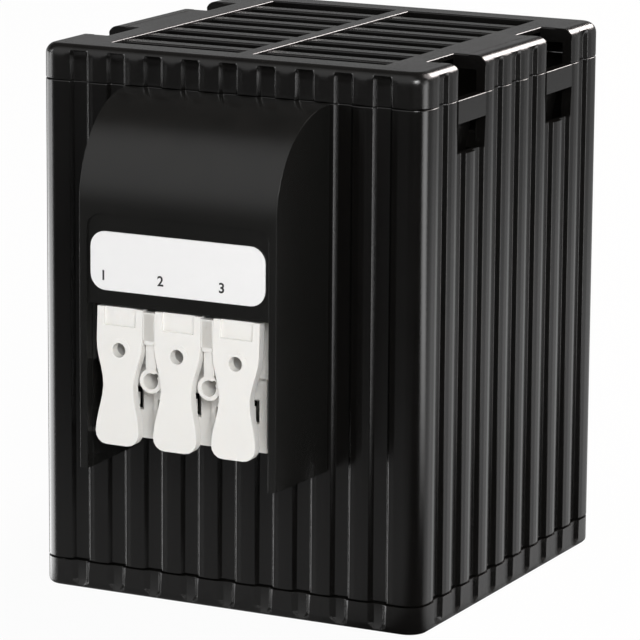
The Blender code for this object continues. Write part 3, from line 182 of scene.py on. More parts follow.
def groove_centres(length):
    first = -length / 2 + CORNER_RIB + GROOVE_WIDTH / 2
    return np.linspace(first, -first, GROOVES)


def outline():
    """The case's outline from above: places on a rounded square, outward directions and groove depths.

    A side is its groove section, shifted to each groove's centre: a trapezoid with rounded corners
    between rib edges that fall away by twice the drop times the share squared. A corner is a quarter
    circle. The four sides are one side turned by right angles.
    """
    half = GROOVE_WIDTH / 2
    floor = GROOVE_FLOOR / 2
    corners = np.array([(-half - CROWN_WIDTH, 0), (-half, -CROWN_DROP), (-floor, -GROOVE_DEPTH)])
    corners = np.concatenate([corners, corners[::-1] * [-1, 1]])
    section = filleted(corners, [RIB_ROUND, FLOOR_ROUND, FLOOR_ROUND, RIB_ROUND])[1:-1]
    crown_x = half + CROWN_WIDTH * (1 - CROWN_SHARES)
    crown = np.stack([crown_x, -CROWN_DROP * CROWN_SHARES ** 2 * 2], axis=1)
    section = np.concatenate([crown * [-1, 1], section, crown[::-1]])
    places, outwards, depths = [], [], []
    for quarter, (length, across) in enumerate(((WIDTH, DEPTH), (DEPTH, WIDTH)) * 2):
        along = (groove_centres(length)[:, None] + section[None, :, 0]).ravel()
        depth = np.tile(section[:, 1], GROOVES)
        angle = np.radians(np.linspace(-90, 0, 13))
        ends = np.array([-length / 2 + CORNER_RADIUS + SUPPORT, length / 2 - CORNER_RADIUS - SUPPORT])
        side_x = np.concatenate([ends[:1], along, ends[1:]])
        side = np.stack([side_x, np.full(side_x.size, -across / 2)], axis=1)
        centre = np.array([length / 2 - CORNER_RADIUS, -across / 2 + CORNER_RADIUS])
        round_out = np.stack([np.cos(angle), np.sin(angle)], axis=1)
        place = np.concatenate([side, centre + CORNER_RADIUS * round_out])
        out = np.concatenate([np.tile([0.0, -1.0], (side_x.size, 1)), round_out])
        turn = np.linalg.matrix_power(np.array([[0.0, -1.0], [1.0, 0.0]]), quarter)
        places.append(place @ turn.T)
        outwards.append(out @ turn.T)
        depths.append(np.concatenate([[0], depth, [0], np.zeros(angle.size)]))
    return np.concatenate(places), np.concatenate(outwards), np.concatenate(depths)


def grid_faces(rows, columns, closed_rows=False, closed_columns=False):
    """Quads of a grid as an array of (row, column) corners, wrapping where asked."""
    i = np.arange(rows if closed_rows else rows - 1)
    j = np.arange(columns if closed_columns else columns - 1)
    i, j = np.meshgrid(i, j, indexing="ij")
    i2 = (i + 1) % rows
    j2 = (j + 1) % columns
    return np.stack([i * columns + j, i2 * columns + j, i2 * columns + j2, i * columns + j2], axis=-1)


# Case

def window_walls(in_span, columns, low_row, high_row):
    """Faces that join the sleeve's outside to its inside round each window, as quads of points."""
    rows = in_span.size
    inner = columns - 1
    span_cell = in_span & np.roll(in_span, -1)
    i = np.flatnonzero(span_cell)
    i2 = (i + 1) % rows
    walls = []
    for row, flip in ((low_row, False), (high_row, True)):
        quad = np.stack([i * columns + row, i2 * columns + row,
                         i2 * columns + inner - row, i * columns + inner - row], axis=1)
        walls.append(quad[:, ::-1] if flip else quad)
    starts = i[~span_cell[i - 1]]
    stops = i2[~span_cell[i2]]
    for ends, flip in ((starts, True), (stops, False)):
        for row in range(low_row, high_row):
            quad = np.stack([ends * columns + row, ends * columns + row + 1,
                             ends * columns + inner - row - 1, ends * columns + inner - row], axis=1)
            walls.append(quad[:, ::-1] if flip else quad)
    return walls


def beside_windows(places, outwards):
    """Which outline places lie on the two sides with windows, within a window's span."""
    y = np.abs(places[:, 1])
    return (y > WINDOW_SPAN[0]) & (y < WINDOW_SPAN[1]) & (np.abs(outwards[:, 0]) > FACING)


def ribbed_case(material):
    """The sleeve: outline place plus outward direction times (depth x share - inset), at height z.

    Down the second parameter it runs up the outside, round the top edge, down the inside and
    back. The depth becomes the panel's recess above each window and nothing on the clip's pad.
    """
    places, outwards, depths = outline()
    rim = np.radians(np.linspace(0, 90, 5))
    low_z = BODY_BOTTOM + EDGE_ROUND * (1 - np.sin(rim))
    low_in = EDGE_ROUND * (1 - np.cos(rim))
    levels = np.array([
        BODY_BOTTOM + EDGE_ROUND + SUPPORT, PAD_LOW - SUPPORT, PAD_LOW, PAD_HIGH, PAD_HIGH + SUPPORT,
        WINDOW_BOTTOM - SUPPORT, WINDOW_BOTTOM, WINDOW_TOP, WINDOW_TOP + SUPPORT,
        BODY_TOP - EDGE_ROUND - SUPPORT])
    outer_z = np.concatenate([low_z[::-1], levels, BODY_TOP + BODY_BOTTOM - low_z])
    outer_in = np.concatenate([low_in[::-1], np.zeros(levels.size), low_in])
    inner_z = outer_z[::-1]
    heights = np.concatenate([outer_z, inner_z])
    insets = np.concatenate([outer_in, np.full(inner_z.size, WALL)])
    share = np.concatenate([np.ones(outer_z.size), np.zeros(inner_z.size)])

    depth = depths[:, None] * share
    x, y = places[:, :1], places[:, 1:]
    in_span = beside_windows(places, outwards)
    panel = in_span[:, None] & (heights > WINDOW_TOP - SUPPORT / 2) & (share > 0)
    depth = np.where(panel, -PANEL_RECESS, depth)
    pad = (np.abs(x) < PAD_HALF) & (outwards[:, 1:] > FACING)
    pad = pad & (heights > PAD_LOW - SUPPORT / 2) & (heights < PAD_HIGH + SUPPORT / 2)
    depth = np.where(pad, 0.0, depth)
    offset = depth - insets
    surface = np.stack([x + outwards[:, :1] * offset, y + outwards[:, 1:] * offset,
                        np.broadcast_to(heights, depth.shape)], axis=-1)

    rows, columns = depth.shape
    faces = grid_faces(rows, columns, True, True)
    span_cell = in_span & np.roll(in_span, -1)
    count = outer_z.size
    low_row = int(np.argmin(np.abs(outer_z - WINDOW_BOTTOM)))
    high_row = int(np.argmin(np.abs(outer_z - WINDOW_TOP)))
    hole = np.zeros((rows, columns), bool)
    hole[span_cell, low_row:high_row] = True
    hole[span_cell, 2 * count - 1 - high_row:2 * count - 1 - low_row] = True
    kept = faces[~hole].reshape(-1, 4)
    faces = np.concatenate([kept] + window_walls(in_span, columns, low_row, high_row))
    case = new_piece("ribbed_case", surface, faces.tolist(), material)
    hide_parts("housing")
    return case


# Cap

def cap_rim(material):
    """The cap's outer band: outline place less outward direction times the larger of inset and groove.

    Up the second parameter it runs over a small lower edge, up the side, round a quarter-circle
    fillet, in over the top, and back down the inside. The groove's depth falls off as a quarter
    ellipse near the top, so it ends in the fillet. The four notches leave out whole cells, and
    a flat face of the band's section closes each end.
    """
    places, outwards, depths = outline()
    turn = np.radians(np.linspace(0, 90, 9))
    lower = np.radians(np.linspace(90, 0, 4))
    fillet_z = HEIGHT - CAP_FILLET
    stop = HEIGHT - GROOVE_STOP
    straight = np.linspace(CAP_SEAM + EDGE_ROUND + SUPPORT, fillet_z, 9)
    outer_z = np.concatenate([CAP_SEAM + EDGE_ROUND * (1 - np.sin(lower)), straight,
                              fillet_z + CAP_FILLET * np.sin(turn)[1:], [HEIGHT, HEIGHT]])
    outer_in = np.concatenate([EDGE_ROUND * (1 - np.cos(lower)), np.zeros(straight.size),
                               CAP_FILLET * (1 - np.cos(turn))[1:], [CAP_FILLET + SUPPORT, CAP_RIM]])
    inner_z = np.array([HEIGHT - CAP_PLATE, HEIGHT - CAP_PLATE, CAP_SEAM])
    inner_in = np.array([CAP_RIM, WALL, WALL])
    heights = np.concatenate([outer_z, inner_z])
    insets = np.concatenate([outer_in, inner_in])
    run = np.clip((heights - stop + GROOVE_RUN) / GROOVE_RUN, 0, 1)
    share = np.sqrt(1 - run ** 2)
    share[outer_z.size:] = 0
    offset = -np.maximum(insets, -depths[:, None] * share)
    surface = np.stack([places[:, :1] + outwards[:, :1] * offset, places[:, 1:] + outwards[:, 1:] * offset,
                        np.broadcast_to(heights, offset.shape)], axis=-1)
    rows, columns = offset.shape
    faces = grid_faces(rows, columns, True, True)
    in_span = beside_windows(places, outwards)
    cut = in_span & np.roll(in_span, -1)
    kept = faces[~cut].reshape(-1, 4).tolist()
    i = np.flatnonzero(cut)
    starts = i[~cut[i - 1]]
    stops = (i[~cut[(i + 1) % rows]] + 1) % rows
    section = np.arange(columns)
    ends = [(start * columns + section[::-1]).tolist() for start in starts]
    ends += [(end * columns + section).tolist() for end in stops]
    rim = new_piece("cap_rim", surface, kept + ends, material)
    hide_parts("top_grille")
    return rim


def slab(xs, ys, solid, low, high):
    """Points and faces of a slab on a grid: top and bottom cells kept where solid, walls between."""
    grid_x, grid_y = np.meshgrid(xs, ys, indexing="ij")
    layer = np.stack([grid_x, grid_y], axis=-1).reshape(-1, 2)
    points = np.concatenate([np.column_stack([layer, np.full(len(layer), z)]) for z in (low, high)])
    count = len(layer)
    cell = grid_faces(len(xs), len(ys))
    top = cell[solid] + count
    bottom = cell[solid][:, ::-1]
    ring = cell[solid]
    edges = np.concatenate([np.stack([ring[:, k], ring[:, (k + 1) % 4]], axis=1) for k in range(4)])
    code = edges[:, 0] * count + edges[:, 1]
    back = edges[:, 1] * count + edges[:, 0]
    rim = edges[~np.isin(code, back)]
    walls = np.stack([rim[:, 0], rim[:, 1], rim[:, 1] + count, rim[:, 0] + count], axis=1)
    return points, np.concatenate([top, bottom, walls])


def cap_plate(material):
    """The flat top inside the rim: a slab with two fields and four notches left out of its grid."""
    reach = CAP_PLATE_REACH
    field_y = SLAT_PITCH * SLAT_ROWS / 2 + (SLAT_PITCH - SLAT_WIDTH) / 2
    notch_x = WIDTH / 2 - NOTCH_DEPTH
    low_y, high_y = WINDOW_SPAN
    half_x = np.array([*FIELD_X, notch_x, reach])
    half_y = np.array([low_y, high_y, field_y, reach])
    xs = np.concatenate([-half_x[::-1], half_x])
    ys = np.concatenate([-half_y[::-1], half_y])
    mid_x = np.abs((xs[1:] + xs[:-1]) / 2)[:, None]
    mid_y = np.abs((ys[1:] + ys[:-1]) / 2)[None, :]
    field = (mid_x > FIELD_X[0]) & (mid_x < FIELD_X[1]) & (mid_y < field_y)
    notch = (mid_x > notch_x) & (mid_y > low_y) & (mid_y < high_y)
    points, faces = slab(xs, ys, ~(field | notch), HEIGHT - CAP_PLATE, HEIGHT)
    plate = new_piece("cap_plate", points, faces.tolist(), material, smooth=False)
    soften_top_edges(plate, TOP_EDGE_ROUND)
    return plate


def soften_top_edges(piece, width):
    """A weighted bevel on the top edges, apart from those that lie against the rim."""
    mesh = piece.data
    points = np.empty(len(mesh.vertices) * 3)
    mesh.vertices.foreach_get("co", points)
    points = points.reshape(-1, 3)
    ends = np.empty(len(mesh.edges) * 2, np.int32)
    mesh.edges.foreach_get("vertices", ends)
    pair = points[ends.reshape(-1, 2)]
    high = (pair[:, :, 2] > HEIGHT - SUPPORT).all(axis=1)
    x, y = np.abs(pair[:, :, 0]), np.abs(pair[:, :, 1])
    in_notch = (y > WINDOW_SPAN[0] - SUPPORT) & (y < WINDOW_SPAN[1] + SUPPORT)
    inside = ((x < CAP_PLATE_REACH - SUPPORT) | in_notch).all(axis=1)
    inside &= y.mean(axis=1) < CAP_PLATE_REACH - SUPPORT
    weight = mesh.attributes.new("bevel_weight_edge", "FLOAT", "EDGE")
    weight.data.foreach_set("value", (high & inside).astype(np.float32))
    bevel = piece.modifiers.new("eased edges", "BEVEL")
    bevel.limit_method = "WEIGHT"
    bevel.width = width
    bevel.segments = 3
    bevel.harden_normals = True


def extruded(profile, low, high, along):
    """Points and faces of a closed outline drawn from low to high along X (0) or Y (1)."""
    profile = np.asarray(profile, float)
    count = len(profile)
    ring = [np.insert(profile, along, at, axis=1) for at in (low, high)]
    index = np.arange(count)
    after = (index + 1) % count
    sides = np.stack([index, index + count, after + count, after], axis=1)
    return np.concatenate(ring), sides.tolist() + [index.tolist(), (index[::-1] + count).tolist()]


def gathered(forms):
    """Several forms as one: their points in a row, and their faces counted on from the last."""
    points, faces, count = [], [], 0
    for form_points, form_faces in forms:
        points.append(form_points)
        faces += [[count + corner for corner in face] for face in form_faces]
        count += len(form_points)
    return np.concatenate(points), faces


def cap_slats(material):
    """Bars across the two fields: a rectangle in Y and Z with rounded upper corners, drawn along X."""
    top = HEIGHT - SLAT_DROP
    half = SLAT_WIDTH / 2
    corners = np.array([(-half, HEIGHT - CAP_PLATE), (-half, top), (half, top), (half, HEIGHT - CAP_PLATE)])
    section = filleted(corners, [SLAT_ROUND, SLAT_ROUND], 4)
    forms = []
    for row in np.arange(SLAT_ROWS) - (SLAT_ROWS - 1) / 2:
        for side in (-1, 1):
            inner, outer = sorted((side * (FIELD_X[0] - SUPPORT), side * (FIELD_X[1] + SUPPORT)))
            forms.append(extruded(section + [row * SLAT_PITCH, 0], inner, outer, 0))
    points, faces = gathered(forms)
    slats = new_piece("cap_slats", points, faces, material)
    return slats


def cap_hooks(material):
    """Four sprung arms: a bent strip in X and Z with a wedge nose, drawn along Y in its window."""
    root = WIDTH / 2 - NOTCH_DEPTH
    wall = WIDTH / 2 - WALL - HOOK_CLEAR
    nose = WIDTH / 2 - NOSE_RECESS
    low = WINDOW_BOTTOM + HOOK_CLEAR
    arm = HOOK_THICKNESS
    top = HEIGHT - HOOK_ROOT_DROP
    bend = BODY_TOP - HOOK_BEND_DROP
    nose_top = WINDOW_TOP - NOSE_TOP_DROP
    outline_xz = np.array([
        (root, top), (root - arm, top), (root - arm, bend), (wall - 2 * arm, low - arm),
        (wall - arm, low - arm), (wall - arm, low), (nose, WINDOW_TOP - 1.5 * arm), (nose, nose_top),
        (wall - arm, nose_top), (wall - arm, bend - arm), (root, bend)])
    forms = []
    for side in (1, -1):
        for end in (1, -1):
            low_y, high_y = sorted((end * (WINDOW_SPAN[0] + HOOK_SIDE), end * (WINDOW_SPAN[1] - HOOK_SIDE)))
            points, faces = extruded(outline_xz * [side, 1], low_y, high_y, 1)
            if side < 0:
                faces = [face[::-1] for face in faces]
            forms.append((points, faces))
    points, faces = gathered(forms)
    hooks = new_piece("cap_hooks", points, faces, material, smooth=False)
    return hooks


def terminal_bridges(material):
    """Plates between the lever heads: a flush one above, and a narrower one a step back below it."""
    half = (LEVER_PITCH - LEVER_WIDTH) / 2 - BRIDGE_GAP
    face = block_low[1]
    forms = []
    for centre in (-LEVER_PITCH / 2, LEVER_PITCH / 2):
        for left, low, high, step in ((-half, BRIDGE_LOW, block_high[2] - BRIDGE_GAP, 0.0),
                                      (half - STEP_WIDTH, STEP_LOW, STEP_HIGH, STEP_BACK)):
            front, back = face + step, face + BRIDGE_BACK
            x = (centre + left, centre + half)
            points, faces = extruded([(x[0], low), (x[0], high), (x[1], high), (x[1], low)], front, back, 1)
            forms.append((points, [corners[::-1] for corners in faces]))
    points, faces = gathered(forms)
    bridges = new_piece("terminal_bridges", points, faces, material, smooth=False)
    return bridges


def eased_copy(name, node, material, width, body="case", segments=2, limit=28):
    """A CAD node's shape with its triangles merged into flat faces and its edges rounded."""
    form = bmesh.new()
    form.from_mesh(nodes[node].data)
    bmesh.ops.remove_doubles(form, verts=form.verts, dist=MERGE_DISTANCE)
    bmesh.ops.dissolve_limit(form, angle_limit=FLAT_ANGLE, verts=form.verts, edges=form.edges,
                             delimit={"NORMAL"})
    points = np.array([vert.co for vert in form.verts])
    form.verts.index_update()
    faces = [[vert.index for vert in face.verts] for face in form.faces]
    form.free()
    piece = new_piece(name, points, faces, material, body)
    bevel = piece.modifiers.new("eased edges", "BEVEL")
    bevel.limit_method = "ANGLE"
    bevel.angle_limit = math.radians(limit)
    bevel.width = width
    bevel.segments = segments
    bevel.harden_normals = True
    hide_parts(node)
    return piece


def label_digits(material):
    """Plain numbers 1 to 3 over the terminals, as thin raised ink on the label's face."""
    low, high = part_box("rating_label")
    for number, share in enumerate(DIGIT_PLACES, 1):
        curve = bpy.data.curves.new(f"digit_{number}", "FONT")
        curve.body = str(number)
        curve.size = DIGIT_SIZE
        curve.align_x = "CENTER"
        curve.extrude = DIGIT_HALF_THICKNESS
        curve.offset = DIGIT_BOLDNESS
        drawn = bpy.data.objects.new(f"digit_{number}_outline", curve)
        bpy.context.scene.collection.objects.link(drawn)
        bpy.context.view_layer.update()
        graph = bpy.context.evaluated_depsgraph_get()
        mesh = bpy.data.meshes.new_from_object(drawn.evaluated_get(graph))
        bpy.data.objects.remove(drawn)
        bpy.data.curves.remove(curve)
        x = low[0] + (high[0] - low[0]) * share
        place = Matrix.Translation((x, low[1] - DIGIT_PROUD, low[2] + DIGIT_RISE))
        mesh.transform(place @ Matrix.Rotation(math.pi / 2, 4, "X"))
        digit = bpy.data.objects.new(f"label_digit_{number}", mesh)
        bpy.context.scene.collection.objects.link(digit)
        digit.data.materials.clear()
        digit.data.materials.append(material)
        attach(digit, "case")


# Materials

GRAIN_HEIGHT = 0.06 * MM
PLASTIC_INPUTS = (("Grain", 0.5), ("Gloss", 0.4), ("Spread", 0.1))


def new_group(name, inputs, outputs):
    group = bpy.data.node_groups.new(name, "ShaderNodeTree")
    for label, kind, value in inputs:
        socket = group.interface.new_socket(label, in_out="INPUT", socket_type=kind)
        socket.default_value = value
    for label, kind in outputs:
        group.interface.new_socket(label, in_out="OUTPUT", socket_type=kind)
    return group, group.nodes.new("NodeGroupInput"), group.nodes.new("NodeGroupOutput")


def new_node(tree, kind, **settings):
    node = tree.nodes.new(kind)
    for name, value in settings.items():
        setattr(node, name, value)
    return node


def maths(tree, operation, first, second=None, third=None):
    node = new_node(tree, "ShaderNodeMath", operation=operation)
    for socket, value in zip(node.inputs, (first, second, third)):
        if isinstance(value, (int, float)):
            socket.default_value = value
        elif value is not None:
            tree.links.new(value, socket)
    return node.outputs[0]


def vector_maths(tree, operation, first, second=None):
    """A vector node of one operation, its second vector a plain one."""
    node = new_node(tree, "ShaderNodeVectorMath", operation=operation)
    tree.links.new(first, node.inputs[0])
    if second is not None:
        node.inputs[1].default_value = second
    return node


def noise(tree, vector, scale, detail=3.0, roughness=0.55):
    node = new_node(tree, "ShaderNodeTexNoise")
    node.inputs["Scale"].default_value = scale
    node.inputs["Detail"].default_value = detail
    node.inputs["Roughness"].default_value = roughness
    tree.links.new(vector, node.inputs["Vector"])
    return node.outputs["Fac"]


def eroded_grain():
    """Spark-eroded mould grain: two fine noises as a height, and a slow one as gloss patches."""
    group, given, put = new_group(
        "eroded_grain",
        [(label, "NodeSocketFloat", value) for label, value in PLASTIC_INPUTS],
        [("Roughness", "NodeSocketFloat"), ("Normal", "NodeSocketVector")])
    place = new_node(group, "ShaderNodeTexCoord").outputs["Object"]
    fine = noise(group, place, 5200.0, 2.0)
    coarse = noise(group, place, 1900.0, 2.0)
    slow = noise(group, place, 60.0, 3.0)
    height = maths(group, "MULTIPLY_ADD", coarse, 0.6, fine)
    bump = new_node(group, "ShaderNodeBump")
    bump.inputs["Distance"].default_value = GRAIN_HEIGHT
    group.links.new(given.outputs["Grain"], bump.inputs["Strength"])
    group.links.new(height, bump.inputs["Height"])
    centred = maths(group, "SUBTRACT", slow, 0.5)
    speckle = maths(group, "MULTIPLY_ADD", maths(group, "SUBTRACT", coarse, 0.5), 0.25, centred)
    spread = maths(group, "MULTIPLY_ADD", speckle, given.outputs["Spread"], given.outputs["Gloss"])
    group.links.new(spread, put.inputs["Roughness"])
    group.links.new(bump.outputs["Normal"], put.inputs["Normal"])
    return group


def settled_dust():
    """Thin grey film: more on faces that look up, broken up by a noise."""
    group, given, put = new_group(
        "settled_dust",
        [("Colour", "NodeSocketColor", (0.02, 0.02, 0.02, 1)), ("Amount", "NodeSocketFloat", 0.04)],
        [("Colour", "NodeSocketColor")])
    coordinates = new_node(group, "ShaderNodeTexCoord")
    split = new_node(group, "ShaderNodeSeparateXYZ")
    group.links.new(coordinates.outputs["Normal"], split.inputs[0])
    upward = maths(group, "MAXIMUM", split.outputs["Z"], 0.15)
    broken = maths(group, "MULTIPLY", noise(group, coordinates.outputs["Object"], 150.0, 4.0), upward)
    amount = maths(group, "MULTIPLY", broken, given.outputs["Amount"])
    mix = new_node(group, "ShaderNodeMix", data_type="RGBA")
    group.links.new(amount, mix.inputs["Factor"])
    group.links.new(given.outputs["Colour"], mix.inputs["A"])
    mix.inputs["B"].default_value = (0.42, 0.38, 0.34, 1)
    group.links.new(mix.outputs["Result"], put.inputs["Colour"])
    return group


GRAIN = eroded_grain()
DUST = settled_dust()


def moulded_plastic(name, colour, gloss, grain, spread=0.08, dust=0.05, sheen_under=0.0):
    """An injection-moulded plastic with its grain, gloss patches and a trace of dust."""
    material = bpy.data.materials.new(name)
    material.use_nodes = True
    tree = material.node_tree
    shader = tree.nodes["Principled BSDF"]
    surface = new_node(tree, "ShaderNodeGroup", node_tree=GRAIN)
    surface.inputs["Grain"].default_value = grain
    surface.inputs["Gloss"].default_value = gloss
    surface.inputs["Spread"].default_value = spread
    film = new_node(tree, "ShaderNodeGroup", node_tree=DUST)
    film.inputs["Colour"].default_value = (*colour, 1)
    film.inputs["Amount"].default_value = dust
    tree.links.new(film.outputs["Colour"], shader.inputs["Base Color"])
    tree.links.new(surface.outputs["Roughness"], shader.inputs["Roughness"])
    tree.links.new(surface.outputs["Normal"], shader.inputs["Normal"])
    if sheen_under:
        shader.inputs["Subsurface Weight"].default_value = sheen_under
        shader.inputs["Subsurface Radius"].default_value = (0.8, 0.7, 0.6)
        shader.inputs["Subsurface Scale"].default_value = 0.0006
    return material


def metal(name, colour, roughness, grain):
    """A metal with a fine grain that roughens it unevenly."""
    material = bpy.data.materials.new(name)
    material.use_nodes = True
    tree = material.node_tree
    shader = tree.nodes["Principled BSDF"]
    shader.inputs["Base Color"].default_value = (*colour, 1)
    shader.inputs["Metallic"].default_value = 1.0
    surface = new_node(tree, "ShaderNodeGroup", node_tree=GRAIN)
    surface.inputs["Grain"].default_value = grain
    surface.inputs["Gloss"].default_value = roughness
    surface.inputs["Spread"].default_value = 0.2
    tree.links.new(surface.outputs["Roughness"], shader.inputs["Roughness"])
    tree.links.new(surface.outputs["Normal"], shader.inputs["Normal"])
    return material


CASE_BLACK = moulded_plastic("case_black", (0.0024, 0.0022, 0.002), 0.20, 0.2, dust=0.02)
CAP_BLACK = moulded_plastic("cap_black", (0.0024, 0.0022, 0.002), 0.24, 0.3, dust=0.03)
HOOD_BLACK = moulded_plastic("hood_black", (0.005, 0.005, 0.0046), 0.24, 0.1, 0.05, 0.03)
TERMINAL_WHITE = moulded_plastic("terminal_white", (0.80, 0.79, 0.76), 0.36, 0.08, 0.06, 0.03, 0.15)
LEVER_WHITE = moulded_plastic("lever_white", (0.84, 0.83, 0.80), 0.34, 0.06, 0.06, 0.02, 0.15)
LABEL_WHITE = moulded_plastic("label_white", (0.86, 0.86, 0.86), 0.30, 0.03, 0.04, 0.02)
INK = moulded_plastic("label_ink", (0.012, 0.012, 0.012), 0.45, 0.05, 0.05, 0.0)
FAN_BLACK = moulded_plastic("fan_black", (0.025, 0.025, 0.027), 0.50, 0.3)
HOLDER_DARK = moulded_plastic("holder_dark", (0.035, 0.03, 0.025), 0.55, 0.4, 0.1, 0.02)
CERAMIC = moulded_plastic("ceramic_tan", (0.50, 0.42, 0.34), 0.75, 0.8, 0.1, 0.1)
SLEEVE = moulded_plastic("lead_sleeve_grey", (0.60, 0.58, 0.55), 0.55, 0.5, 0.1, 0.1)
ALUMINIUM = metal("extruded_aluminium", (0.78, 0.79, 0.80), 0.38, 0.3)
STEEL = metal("zinc_steel", (0.62, 0.62, 0.60), 0.30, 0.2)
COPPER = metal("winding_copper", (0.62, 0.30, 0.16), 0.38, 0.6)


# Pieces

ribbed_case(CASE_BLACK)
cap_rim(CAP_BLACK)
cap_plate(CAP_BLACK)
cap_slats(CAP_BLACK)
cap_hooks(CAP_BLACK)
eased_copy("bottom_cap", "bottom_grille", CAP_BLACK, 0.2 * MM)
eased_copy("hood_shell", "terminal_hood", HOOD_BLACK, 0.35 * MM, segments=3)
eased_copy("label_plate", "rating_label", LABEL_WHITE, 0.06 * MM)
eased_copy("terminal_body", "terminal_block", TERMINAL_WHITE, 0.18 * MM)
terminal_bridges(TERMINAL_WHITE)
for number in (1, 2, 3):
    eased_copy(f"lever_{number}_paddle", f"release_lever_{number}", LEVER_WHITE, 0.3 * MM,
               f"lever_{number}", segments=3)
    nodes[f"clamp_spring_{number}"].data.materials.clear()
    nodes[f"clamp_spring_{number}"].data.materials.append(STEEL)

label_digits(INK)

# The CAD pieces that stay as they are, by their finish
KEPT = {
    FAN_BLACK: ("fan_frame", "fan_rotor"),
    STEEL: ("fan_shaft", "fan_screw_1", "fan_screw_2", "fan_screw_3", "fan_screw_4", "cutout_screw_1",
            "cutout_screw_2", "clip_screw_1", "clip_screw_2"),
    ALUMINIUM: ("heatsink",),
    CERAMIC: ("heating_element", "thermal_cutout"),
    COPPER: ("fan_stator",),
    HOLDER_DARK: ("heater_cradle", "heater_clamp"),
    SLEEVE: ("lead_heater", "lead_link", "lead_common", "lead_fan"),
    CASE_BLACK: ("rail_clip",),
}
for finish, names in KEPT.items():
    for name in names:
        nodes[name].data.materials.clear()
        nodes[name].data.materials.append(finish)


# Stage

# Levels of light that gloss sees, and the ways that each comes from
PLAIN_LIGHT = 0.14
SKY_LOW, SKY_HIGH = 0.34, 0.06
FRONT_CARD, FRONT_WAY = 0.8, (-0.3, -0.75, 0.6)
BACK_CARD, BACK_WAY = 0.7, (0.5, 0.866, 0)
LEFT_CARD, LEFT_WAY = 5.5, (-1, 0, 0)
# The right card and the near glow are painted reflections: the floor glows them to gloss alone.
RIGHT_PAINTED_REFLECTION, RIGHT_WAY = 4.5, (0.996, -0.087, 0)
GLOW_NEAR, GLOW_FAR, GLOW_WAY = 0.30, 0.03, (-0.45, -0.89, 0)
FLOOR_CLEAR, FLOOR_CLEAR_FAR = 1.0, 0.5

# The floor, and how much of it is its own glow where the camera sees it
FLOOR_WHITE = 0.93
FLOOR_REACH = 6.0
FLOOR_GLOW_SHARE = 0.95

# The photograph's view, as solved from the case's corners
CAMERA_PLACE = (0.38163, -0.75364, 0.23257)
CAMERA_AZIMUTH, CAMERA_ELEVATION, CAMERA_ROLL = 26.918, 12.124, 0.4038
CAMERA_LENS = 236.35

# Lamps: name, place, what it faces, size, watts and colour
CENTRE = (0, 0, HEIGHT / 2)
PLAIN, WARM = (1, 1, 1), (1, 0.93, 0.90)
LAMPS = (
    ("back_softbox", (0.35, 1.45, 0.80), (0.1, 0.2, 0.1), (0.6, 0.5), 14.0, WARM),
    ("right_softbox", (0.75, 0.75, 0.95), (0.35, 0.35, 0), (0.9, 0.9), 9.0, WARM),
    ("side_softbox", (1.2, 0.05, 0.3), CENTRE, (0.3, 0.6), 2.0, PLAIN),
    ("left_strip", (-1.0, -0.45, 0.25), CENTRE, (0.12, 0.8), 2.0, PLAIN),
    ("front_softbox", (0.8, -1.15, 0.65), CENTRE, (0.5, 0.5), 16.0, PLAIN),
)


def falling(tree, value, near, far, top, bottom):
    """A smooth change from top at near to bottom at far."""
    spread = new_node(tree, "ShaderNodeMapRange", interpolation_type="SMOOTHSTEP")
    tree.links.new(value, spread.inputs["Value"])
    for label, number in (("From Min", near), ("From Max", far), ("To Min", top), ("To Max", bottom)):
        spread.inputs[label].default_value = number
    return spread.outputs["Result"]


def toward(tree, direction, way, low, high, top):
    """How near a unit way is to one direction: 0 where their dot is low, top where it is high."""
    dot = vector_maths(tree, "DOT_PRODUCT", way, direction)
    return falling(tree, dot.outputs["Value"], low, high, 0.0, top)


def floor_cards(tree):
    """What gloss sees on the floor: painted reflections that the floor glows to gloss alone, a card to the
    right and a near glow, and how clear it is to the world.
    """
    place = new_node(tree, "ShaderNodeTexCoord").outputs["Object"]
    way = vector_maths(tree, "NORMALIZE", place).outputs["Vector"]
    away = vector_maths(tree, "LENGTH", place).outputs["Value"]
    right = maths(tree, "MULTIPLY", toward(tree, RIGHT_WAY, way, 0.95, 0.995, RIGHT_PAINTED_REFLECTION),
                  falling(tree, away, 0.12, 0.30, 0.0, 1.0))
    near = maths(tree, "MULTIPLY", toward(tree, GLOW_WAY, way, 0.35, 0.75, 1.0),
                 falling(tree, away, 0.07, 0.33, GLOW_NEAR, GLOW_FAR))
    through = falling(tree, away, 0.25, 0.65, FLOOR_CLEAR, FLOOR_CLEAR_FAR)
    return maths(tree, "MAXIMUM", right, near), through


